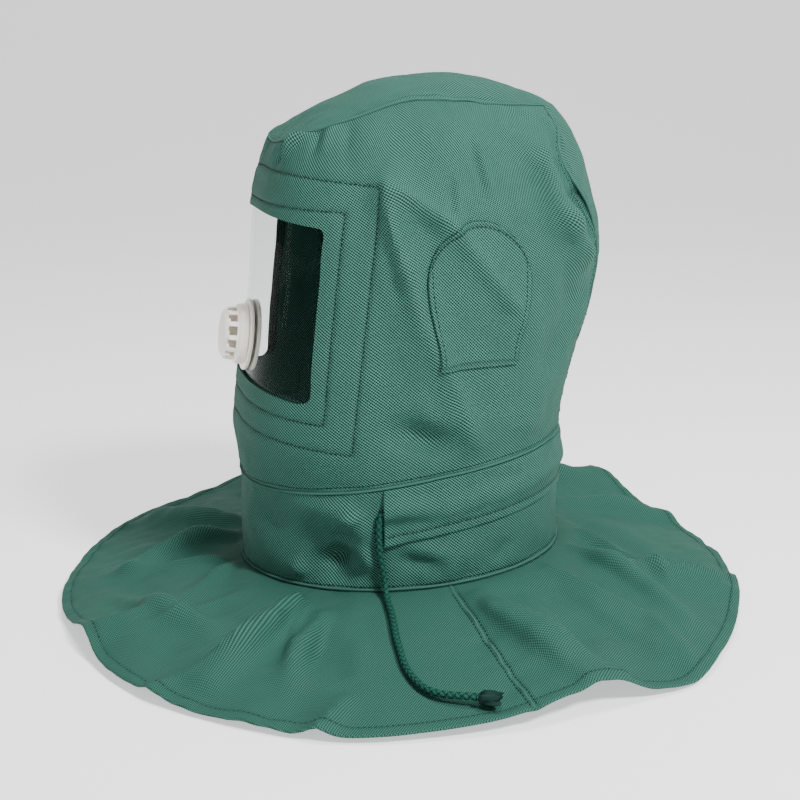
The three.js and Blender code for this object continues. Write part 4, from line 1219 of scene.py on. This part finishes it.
# ---------------------------------------------------------------- neck band and cord channel
BAND_CREASES = [
    (52, 0.84, 62, 0.66, 2.6, 6),
    (46, 0.60, 63, 0.50, -2.2, 4.5),
    (47, 0.46, 56, 0.22, -4, 9),
    (60, 0.50, 66, 0.14, 2, 5),
    (70, 0.34, 95, 0.12, -1.7, 6),
    (73, 0.46, 97, 0.24, 1.1, 6),
    (33, 0.30, 40, 0.06, 1.6, 6),
    (110, 0.10, 124, 0.30, -0.9, 5),
    (20, 0.80, 30, 0.50, -0.9, 6),
    (-20, 0.80, -36, 0.36, -1.2, 7),
    (-60, 0.70, -76, 0.30, 1.2, 7),
]


def band_detail(azimuth, level, p):
    edge = np.minimum(level, 1 - level) * BAND_HEIGHT
    near = np.exp(-edge / 7) * (0.5 * tight(p) + 0.7 * middling(p))
    turn = azimuth - 360 * np.round(azimuth / 360)
    creases = 2.7 * crease_height(BAND_CREASES, turn, level, BAND_ACROSS, BAND_HEIGHT)
    under = smooth(np.abs(turn), CHANNEL_END - 8, CHANNEL_END) * smooth(level, 0.42, 0.54)
    total = (0.4 * broad(p) + 0.2 * middling(p) + near + creases) * (1 - 0.7 * under)
    return np.maximum(total, -1.0) * smooth(edge, 0, 5) + np.minimum(total + 1, 0) * smooth(
        edge, 4, 20)


def neck_band():
    up = ticks(BAND_HEIGHT, 2.6) / BAND_HEIGHT
    around = np.arange(0, 360, 1.25)
    azimuth, level = np.meshgrid(around, up)
    level = np.clip(level, 0.002, 0.998)
    base = band(azimuth, level)
    n = band_normal(azimuth, level)
    drop = rolled(np.minimum(level, 1 - level) * BAND_HEIGHT, 1.5)
    outer = base + n * band_detail(azimuth, level, base)[..., None]
    seam = np.where(level * BAND_HEIGHT < 2.7, -6, 6) + 0 * azimuth
    return cloth("neck_band_cloth", *walls(outer, n, drop), flat_uv(base), seam, True)


def channel_level(azimuth, share):
    height = body_base(azimuth, 0)[..., 2] - neck(azimuth)[..., 2]
    return 1 - CHANNEL_HEIGHT / height * (1 - share) - share * 1.5 / height


def cord_share(azimuth):
    return 0.5 + 0.13 * smooth(np.abs(azimuth - 180), 90, 180 - TAIL_HANG[0][0])


def channel_skin(azimuth, share, out=0.0):
    azimuth, share = grids(azimuth, share)
    level = channel_level(azimuth, share)
    room = CORD_DIAMETER + 4 * PIECE_GAP
    away = (share - cord_share(azimuth)) * CHANNEL_HEIGHT
    into = np.minimum(azimuth - CHANNEL_END, 360 - CHANNEL_END - azimuth)
    mouth = 1.15 - 0.65 * smooth(into, 3, 26)
    stand = LAYER_GAP + (room - LAYER_GAP) * np.exp(-np.abs(away / 7.6) ** 3) * mouth
    base = band(azimuth, level)
    edge = np.minimum(share, 1 - share) * CHANNEL_HEIGHT
    lively = (0.35 * middling(base * 1.2) + 0.45 * broad(base * 1.2)
              + 0.35 * np.exp(-edge / 6) * tight(base)) * smooth(edge, 0, 4)
    n = band_normal(azimuth, level)
    # the free end curls a little away from the band at its lower corner
    curl = (2.6 * (1 - smooth(into, 0, 9)) * (1 - smooth(share, 0.0, 0.45))
            + 1.0 * (1 - smooth(share, 0.0, 0.3)) * (1 - smooth(into, 12, 30)))
    return base + n * (stand + CLOTH_WALL + np.maximum(lively, -0.4) + curl + out)[..., None], n


def cord_channel():
    span = 360 - 2 * CHANNEL_END
    wide = math.radians(span) * CHANNEL_RADIUS
    azimuth = CHANNEL_END + ticks(wide, 2.6) / wide * span
    share = ticks(CHANNEL_HEIGHT, 1.8) / CHANNEL_HEIGHT
    s, a = np.meshgrid(share, azimuth, indexing="ij")
    outer, n = channel_skin(a, s)
    edge = np.minimum(np.minimum(s, 1 - s) * CHANNEL_HEIGHT,
                      np.minimum(a - CHANNEL_END, 360 - CHANNEL_END - a) * CHANNEL_DEGREE)
    outer, inner = walls(outer, n, rolled(edge, 1.3))
    return cloth("cord_channel_cloth", outer, inner, flat_uv(outer),
                 np.abs(s * CHANNEL_HEIGHT - CHANNEL_STITCH))


collar = neck_band()
finish_piece(collar, hood_cloth, "neck_band")
finish_piece(cord_channel(), hood_cloth, "cord_channel")


# ---------------------------------------------------------------- seam welts
def seam_welt(name, path, centre, out, radius=1.05):
    """The folded edge of the cloth that stands up along a seam."""
    away = path - centre
    away /= np.linalg.norm(away, axis=1, keepdims=True)
    lift = out + 0.16 * tight(path) + 0.12 * middling(path)
    route = resample(path + away * lift[:, None], 1.7)
    finish_piece(swept(name, route, radius, 10), welt_cloth, angle=60)


end = back_seam(1.0)
down = np.linspace(1, 0, 60)[1:]
seam_welt("crown_seam_welt", np.concatenate([
    body_base(-back_seam(down), down)[::-1], body_base(np.linspace(-end, end, 120), 1.0),
    body_base(back_seam(down), down)]), np.array([0, 10, NECK_SIDE + BODY_RISE * 0.5]), -0.4, 0.85)
around = np.linspace(0, 360, 160)
seam_welt("band_seam_welt", body_base(around, 0.0), np.array([0, 0, NECK_SIDE]), 0.35)
seam_welt("neck_seam_welt", neck(around) + [0, 0, 1.0], np.array([0, 0, CAPE_RISE]), 0.5)


# ---------------------------------------------------------------- drawcord
def plait(turn, along):
    """Radius of a round braid: two sets of strands that cross over and under."""
    strands = 3
    lay = 15.0
    a = strands * (turn / (2 * math.pi) + along / lay)
    b = strands * (turn / (2 * math.pi) - along / lay)
    over = (np.floor(a) + np.floor(b)) % 2 < 1
    across = np.where(over, a % 1, b % 1)
    bump_height = np.sqrt(np.maximum(1 - (2 * across - 1) ** 2, 0))
    return CORD_DIAMETER / 2 * (0.70 + 0.40 * bump_height)


def tail_points(side):
    points = []
    for azimuth, away, height in TAIL_HANG:
        p = neck(side * azimuth)
        p = p + outward(p) * away
        points.append([p[0], p[1], height])
    for azimuth, share, lift in TAIL_LIE:
        p = neck(azimuth)
        radius = math.hypot(p[0], p[1]) + share * CAPE_RUN
        inner = cape(side * azimuth, 0.0)
        outer = cape(side * azimuth, 1.0)
        inner_radius = math.hypot(inner[0], inner[1])
        reach = (radius - inner_radius) / (math.hypot(outer[0], outer[1]) - inner_radius)
        q = cape(side * azimuth, reach)
        points.append([q[0], q[1], q[2] + CORD_DIAMETER / 2 + 3 * PIECE_GAP + lift])
    return points


def cord_tip(name, end, heading):
    """The dipped, thickened end of a cord, slightly lumpy."""
    tip = turned(name, [
        (0.001, 0.3), (CORD_DIAMETER / 2 + 0.5, 0.3), (CORD_DIAMETER / 2 + 1.4, 1.6),
        (CORD_TIP_RADIUS - 0.3, 4.0), (CORD_TIP_RADIUS, 7.5), (CORD_TIP_RADIUS - 0.5, 11.0),
        (CORD_TIP_RADIUS - 1.0, CORD_TIP_LENGTH - 0.9), (CORD_TIP_RADIUS - 2.2, CORD_TIP_LENGTH),
        (0.001, CORD_TIP_LENGTH)], 32)
    settled(tip, stood_at(end, heading))
    points = np.array([v.co[:] for v in tip.data.vertices]) * 1000
    lumps = 0.88 + 0.13 * tight(points * 1.9) + 0.12 * tight(points * 4.6)
    centre = (to_frame(end) + np.array(heading) * CORD_TIP_LENGTH / 2000) * 1000
    points = centre + (points - centre) * lumps[:, None]
    tip.data.vertices.foreach_set("co", (points / 1000).astype(np.float32).reshape(-1))
    tip.data.update()
    return tip


for side, word in SIDES:
    raw = tail_points(side)
    route = resample(raw, 0.55)
    cord = swept("drawcord_braid_" + word, route, CORD_DIAMETER / 2, 32, plait)
    finish_piece(cord, cord_yarn, "drawcord_tail_" + word, angle=60)
    heading = np.array(raw[-1]) - np.array(raw[-2])
    heading /= np.linalg.norm(heading)
    tip = cord_tip("cord_tip_dipped_" + word, raw[-1], heading)
    finish_piece(tip, dipped, "cord_tip_" + word, angle=60)
    path = to_frame(resample(raw, 4.0))

held_end = TAIL_HANG[0][0] + math.degrees(PIECE_GAP / (NECK_WIDTH / 2))
azimuths = np.linspace(held_end, 360 - held_end, 90)
held_level = channel_level(azimuths, cord_share(azimuths))
held_away = 1.45 + 0.9 * (1 - smooth(180 - np.abs(azimuths - 180), held_end, held_end + 20))
held_route = band(azimuths, held_level) + band_normal(azimuths, held_level) * (
    held_away + 2 * PIECE_GAP)[:, None]
held = swept("drawcord_in_channel", resample(held_route, 1.6), 1.4, 16)
finish_piece(held, cord_yarn, "drawcord_held", angle=60)


# ---------------------------------------------------------------- cape
CAPE_CREASES = [
    (14, 0.36, 16, 0.62, 1.6, 7),
    (44, 0.10, 46, 0.50, 1.2, 6),
    (60, 0.30, 66, 0.80, -1.2, 9),
    (104, 0.30, 110, 0.90, 1.2, 7),
    (118, 0.12, 116, 0.55, -1.2, 7),
    (150, 0.10, 144, 0.50, 1.2, 7),
    (170, 0.20, 158, 0.60, -1.6, 9),
    (-20, 0.20, -24, 0.80, 1.6, 9),
    (-60, 0.20, -66, 0.80, -1.6, 9),
    (-130, 0.20, -138, 0.80, 1.6, 9),
]


# Cape creases with a sharp edge, in the same columns
CAPE_EDGES = [
    (-10.5, 0.85, -7, 0.385, 1.7, 5),
    (-7, 0.385, -1, 0.02, 1.7, 5),
    (17, 1.2, 20, 0.795, 2, 5.5),
    (20, 0.795, 23.2, 0.55, 2, 5.5),
    (23.2, 0.55, 25, 0.16, 2, 5.5),
    (10, 0.67, 21.5, 0.53, 1.3, 4),
    (21.5, 0.53, 33.5, 0.46, 1.3, 4),
    (34, 1.15, 41.8, 0.745, 2.4, 6),
    (41.8, 0.745, 45.2, 0.395, 2.4, 6),
    (45.2, 0.395, 43.5, 0.06, 2.2, 6),
    (62, 1.15, 65.5, 0.895, 2.2, 5),
    (65.5, 0.895, 68, 0.72, 2.2, 5),
    (43.8, 0.12, 52.2, 0.445, 1.7, 6),
    (52.2, 0.445, 57, 0.74, 1.7, 6),
    (56.5, 0.24, 60.5, 0.70, -1.8, 7),
    (172, 0.08, 158.2, 0.365, 3, 7),
    (158.2, 0.365, 149.2, 0.63, 3, 7),
    (149.2, 0.63, 157, 1.1, 2.6, 7),
    (167, 0.10, 151, 0.42, -2.6, 8),
    (97.5, 0.20, 101, 0.515, 2.6, 8),
    (101, 0.515, 103, 0.745, 2.6, 8),
    (103, 0.745, 105.5, 1.15, 2.4, 8),
    (133, 0, 131.8, 0.365, 2, 8),
    (131.8, 0.365, 132, 0.645, 2, 8),
    (132, 0.645, 122.5, 1.02, 2, 8),
    (-40, 0.10, -46, 1.1, 1.8, 7),
    (-100, 0.10, -106, 1.1, 2, 8),
    (-150, 0.10, -141, 1.1, 1.8, 8),
]


def cape_detail(azimuth, reach, p):
    hem = (1 - reach) * CAPE_RUN
    turn = azimuth - 360 * np.round(azimuth / 360)
    creases = crease_height(CAPE_CREASES, turn, reach, CAPE_ACROSS, CAPE_RUN)
    ridges = crease_height([row[:4] + (row[4] * CAPE_RISE, row[5] * CAPE_RADIUS * 0.75)
                            for row in CAPE_FOLDS], azimuth, reach, CAPE_ACROSS, CAPE_RUN)
    edges = crease_height(CAPE_EDGES, turn, reach, CAPE_ACROSS, CAPE_RUN, 1.6)
    total = broad(p) + 0.4 * middling(p) + creases * 2.2 + ridges + edges * 2.7
    near = np.exp(-np.abs(hem - 7) / 5) * (0.35 * tight(p) + 0.4 * middling(p))
    doubled = 0.45 * smooth(7.5 - hem, -0.7, 0.7)
    side = np.abs(np.abs(turn) - CAPE_SEAM_AZIMUTH) * CAPE_DEGREE
    gather = np.exp(-side / 6) * 0.4 * middling(p)
    under_cord = 1 - 0.9 * smooth(13 - np.abs(np.abs(turn) - 78), 0, 5)
    neck_edge = smooth(reach, 0.0, 0.07)
    return (total + near + gather) * neck_edge * under_cord + doubled


def cape_skin(azimuth, reach, out=0.0):
    azimuth, reach = grids(azimuth, reach)
    base = cape(azimuth, reach)
    n = cape_normal(azimuth, reach)
    return base + n * (cape_detail(azimuth, reach, base) + out)[..., None], n


def cape_half(name, low, high):
    wide = math.radians(high - low) * CAPE_MIDDLE
    azimuth = low + 0.03 + ticks(wide, 3.6) / wide * (high - low - 0.06)
    marks = np.sort(np.concatenate([ticks(CAPE_RUN, 3.0), [CAPE_RUN - 7.6, CAPE_RUN - 7.0]]))
    r, a = np.meshgrid(marks / CAPE_RUN, azimuth, indexing="ij")
    outer, n = cape_skin(a, r)
    side = np.minimum(a - low, high - a) * math.radians(1) * np.hypot(outer[..., 0], outer[..., 1])
    drop = np.minimum(rolled((1 - r) * CAPE_RUN, 1.2), rolled(side, 1.0))
    outer, inner = walls(outer, n, drop)
    base = cape(a, r)
    seam = np.minimum(np.abs(side - SIDE_STITCH), np.abs((1 - r) * CAPE_RUN - HEM_STITCH))
    # the inner edge turns up inside the neck band
    start = cape(a[:1], 0 * a[:1])
    rows = []
    for inward, up in ((2.6, 6.0), (2.3, 3.0), (1.6, 1.0)):
        rows.append(start - outward(start) * inward + np.array([0, 0, up]))
    tuck = np.concatenate(rows)
    thick = outward(start) * CLOTH_WALL
    outer = np.concatenate([tuck, outer])
    inner = np.concatenate([tuck - thick - [0, 0, 0.4], inner])
    base = np.concatenate([tuck, base])
    seam = np.concatenate([50 + 0 * tuck[..., 0], seam])
    uv = np.stack([base[..., 0], base[..., 1]], -1)
    obj = cloth(name, outer[:, ::-1], inner[:, ::-1], uv[:, ::-1], seam[:, ::-1])
    # the cloth's area, by the two triangles of each cell of the grid
    d1 = np.cross(base[1:, :-1] - base[:-1, :-1], base[:-1, 1:] - base[:-1, :-1])
    d2 = np.cross(base[1:, 1:] - base[:-1, 1:], base[1:, 1:] - base[1:, :-1])
    area = (np.linalg.norm(d1, axis=-1).sum() + np.linalg.norm(d2, axis=-1).sum()) / 2
    return obj, area / 1e6


for name, node, low, high in (
        ("cape_front_cloth", "cape_front", -CAPE_SEAM_AZIMUTH, CAPE_SEAM_AZIMUTH),
        ("cape_back_cloth", "cape_back", CAPE_SEAM_AZIMUTH, 360 - CAPE_SEAM_AZIMUTH)):
    obj, area = cape_half(name, low, high)
    finish_piece(obj, cape_cloth, node)

reach = np.linspace(0.0, 0.992, 120)
for side, word in SIDES:
    seam_welt("cape_seam_welt_" + word, cape_skin(side * CAPE_SEAM_AZIMUTH + 0 * reach, reach)[0],
              np.array([0, 0, -1e5]), -0.55, 0.9)


# ---------------------------------------------------------------- stitching
def one_stitch():
    bpy.ops.mesh.primitive_uv_sphere_add(segments=6, ring_count=5, radius=0.5)
    obj = bpy.context.object
    v = np.array([p.co[:] for p in obj.data.vertices])
    f = [list(p.vertices) for p in obj.data.polygons]
    bpy.data.objects.remove(obj, do_unlink=True)
    return v, f


STITCH_V, STITCH_F = one_stitch()


class Stitching:
    """One mesh of small stitches along lines on the cloth, also used for dark dashes painted as
    shadow in the gaps beside seams.
    """

    def __init__(self):
        self.vertices = []
        self.faces = []

    def line(self, points, n, pitch=3.4, length=2.5, thick=0.72):
        points = np.asarray(points)
        distance = arc(points, 0)
        marks = np.arange(pitch / 2, distance[-1], pitch)
        at = read_off(marks, distance, points)
        up = read_off(marks, distance, n)
        along = read_off(marks + 0.6, distance, points) - read_off(marks - 0.6, distance, points)
        along /= np.maximum(np.linalg.norm(along, axis=1, keepdims=True), 1e-9)
        up -= along * (up * along).sum(1, keepdims=True)
        up /= np.linalg.norm(up, axis=1, keepdims=True)
        side = np.cross(up, along)
        for p, x, y, z in zip(at, along, side, up):
            start = sum(len(block) for block in self.vertices)
            moved = (p + STITCH_V[:, :1] * x * length + STITCH_V[:, 1:2] * y * thick
                     + STITCH_V[:, 2:] * z * thick * 0.7)
            self.vertices.append(moved)
            self.faces.extend([[i + start for i in face] for face in STITCH_F])

    def build(self, name):
        obj = new_object(name, to_frame(np.concatenate(self.vertices)), self.faces)
        finish_piece(obj, dark_thread_and_gap_shadow, angle=60)


def body_line(points):
    """A line through (azimuth, height) places on the body."""
    a, z = np.array(points, float).T
    length = arc(np.stack([a * BODY_DEGREE, z], -1), 0)
    even = np.linspace(0, length[-1], 90)
    azimuth = np.interp(even, length, a)
    level = level_at(azimuth, np.interp(even, length, z))
    return body_skin(azimuth, level, 0.25)


# Close, thin dark dashes: shadow painted into the narrow gaps beside seams
PAINTED_GAP_SHADOW = {"pitch": 2.0, "length": 2.5, "thick": 0.55}


sewing = Stitching()
for outline in (INNER_STITCH, OUTER_STITCH):
    for line in (outline, mirrored(outline)):
        sewing.line(*body_line(line))
for side in (1, -1):
    t = np.sin(np.linspace(-1, 1, 90) * math.pi / 2)
    inset = 1 - 3.8 / (PATCH_WIDTH / 2)
    high = 1 - 3.8 / PATCH_HEIGHT
    sewing.line(*patch_skin(side, t * inset, high + 0 * t, 0.1))
    # Shadow painted as dark dashes under the top and bottom edges of the patch
    for share in (1.0, 0.0):
        sewing.line(*patch_skin(side, t, share + 0 * t, -0.9), **PAINTED_GAP_SHADOW)
    drop = np.linspace(0.05, high, 40)
    for end in (-inset, inset):
        sewing.line(*patch_skin(side, end + 0 * drop, drop, 0.1))
turn = np.linspace(-158, 158, 360)
sewing.line(*body_skin(turn, 3.2 / WRAP_RISE + 0 * turn, 0.1), thick=0.6)
for side in (1, -1):
    level = np.linspace(0.02, 0.97, 120)
    sewing.line(*body_skin(side * (back_seam(level) - 2.0), level, 0.1), thick=0.6)
# Shadow painted as dark dashes in the gaps along the crown seam, the back seams, the top of the
# neck band and the neck seam
turn = np.linspace(-back_seam(1.0), back_seam(1.0), 400)
sewing.line(*body_skin(turn, 1 - 1.5 / WRAP_RISE + 0 * turn, 0.0), **PAINTED_GAP_SHADOW)
for side in (1, -1):
    level = np.linspace(0.01, 0.99, 200)
    sewing.line(*body_skin(side * (back_seam(level) - 0.8), level, 0.0), **PAINTED_GAP_SHADOW)
around = np.linspace(0, 360, 420)
high_level = 1 - 1.5 / BAND_HEIGHT + 0 * around
sewing.line(band(around, high_level), band_normal(around, high_level), **PAINTED_GAP_SHADOW)
sewing.line(neck(around) + outward(neck(around)) * 1.5 - [0, 0, 0.5],
            outward(neck(around)), **PAINTED_GAP_SHADOW)
low_level = 3.0 / BAND_HEIGHT + 0 * around
low_band = band(around, low_level)
low_normal = band_normal(around, low_level)
low_detail = band_detail(around, low_level, low_band)
sewing.line(low_band + low_normal * (low_detail + 0.1)[:, None], low_normal, thick=0.6)
strip = np.linspace(CHANNEL_END + 1, 360 - CHANNEL_END - 1, 260)
sewing.line(*channel_skin(strip, CHANNEL_STITCH / CHANNEL_HEIGHT + 0 * strip, 0.1))
sewing.build("hood_stitching_and_gap_shadows")

cape_sewing = Stitching()
around = np.linspace(0, 360, 900)
cape_sewing.line(*cape_skin(around, 1 - HEM_STITCH / CAPE_RUN + 0 * around, 0.0), pitch=3.6,
                 length=2.4, thick=0.7)
reach = np.linspace(0.08, 0.985, 80)
for side in (1, -1):
    for gap in (SIDE_STITCH, -SIDE_STITCH):
        seam = cape(side * CAPE_SEAM_AZIMUTH + 0 * reach, reach)
        turn = side * CAPE_SEAM_AZIMUTH + np.degrees(gap / np.hypot(seam[:, 0], seam[:, 1]))
        cape_sewing.line(*cape_skin(turn, reach, 0.1), pitch=3.6, length=2.6, thick=0.85)
cape_sewing.build("cape_stitching")


# ---------------------------------------------------------------- camera, stage and light
camera_data = bpy.data.cameras.new("camera")
camera_data.lens = 63.0
camera_data.sensor_width = 36.0
camera_data.clip_end = 20
camera = bpy.data.objects.new("camera", camera_data)
bpy.context.scene.collection.objects.link(camera)
CAMERA_AZIMUTH = math.radians(75)
CAMERA_DOWN = math.radians(14)
CAMERA_REACH = 1050
CAMERA_HEIGHT = 408
stand = np.array([CAMERA_REACH * math.sin(CAMERA_AZIMUTH),
                  -CAMERA_REACH * math.cos(CAMERA_AZIMUTH), CAMERA_HEIGHT])
camera.location = Vector(to_frame(stand))
camera.rotation_euler = (math.pi / 2 - CAMERA_DOWN, 0, CAMERA_AZIMUTH)
bpy.context.scene.camera = camera

floor_z = (0 - OFFSET[2]) / 1000 - 0.004
bpy.ops.mesh.primitive_plane_add(size=9, location=(0, 0, floor_z))
floor = bpy.context.object
floor.name = "floor"
floor.rotation_euler = (0, 0, CAMERA_AZIMUTH)
bpy.ops.object.transform_apply(rotation=True)
far = Vector((-math.sin(CAMERA_AZIMUTH), math.cos(CAMERA_AZIMUTH), 0))
bpy.ops.object.mode_set(mode="EDIT")
bpy.ops.mesh.select_all(action="DESELECT")
bpy.ops.object.mode_set(mode="OBJECT")
for edge in floor.data.edges:
    edge.select = all(floor.data.vertices[i].co @ far > 4 for i in edge.vertices)
bpy.ops.object.mode_set(mode="EDIT")
bpy.ops.mesh.select_mode(type="EDGE")
bpy.ops.mesh.extrude_region_move(TRANSFORM_OT_translate={"value": (0, 0, 5)})
bpy.ops.object.mode_set(mode="OBJECT")
curve = floor.modifiers.new("curve", "BEVEL")
curve.width = 2.0
curve.segments = 16
curve.limit_method = "ANGLE"
bpy.ops.object.modifier_apply(modifier="curve")
bpy.ops.object.shade_smooth()
floor.data.materials.append(Surface("floor_white", (0.9, 0.9, 0.9), 0.9,
                                    Emission_Color=(1, 1, 1, 1), Emission_Strength=0.7).material)

world = bpy.data.worlds.new("studio")
world.use_nodes = True
world.node_tree.nodes["Background"].inputs[0].default_value = (1, 1, 1, 1)
world.node_tree.nodes["Background"].inputs[1].default_value = 0.28
bpy.context.scene.world = world


def lamp(name, place, size, power):
    """A lamp that looks at the middle of the hood."""
    data = bpy.data.lights.new(name, "AREA")
    data.shape = "RECTANGLE"
    data.size, data.size_y = size
    data.energy = power
    obj = bpy.data.objects.new(name, data)
    bpy.context.scene.collection.objects.link(obj)
    obj.location = place
    way = Vector((0, 0, -0.2)) - Vector(place)
    obj.rotation_euler = way.to_track_quat("-Z", "Y").to_euler()


lamp("key", (1.35, 0.6, 1.2), (0.35, 0.35), 63)
lamp("fill", (1.1, -1.1, 0.6), (0.8, 0.8), 2.4)
lamp("top", (0.1, 0.1, 1.7), (0.6, 0.6), 26)
lamp("strip", (-0.42, -1.6, 0.22), (0.2, 1.0), 2.0)
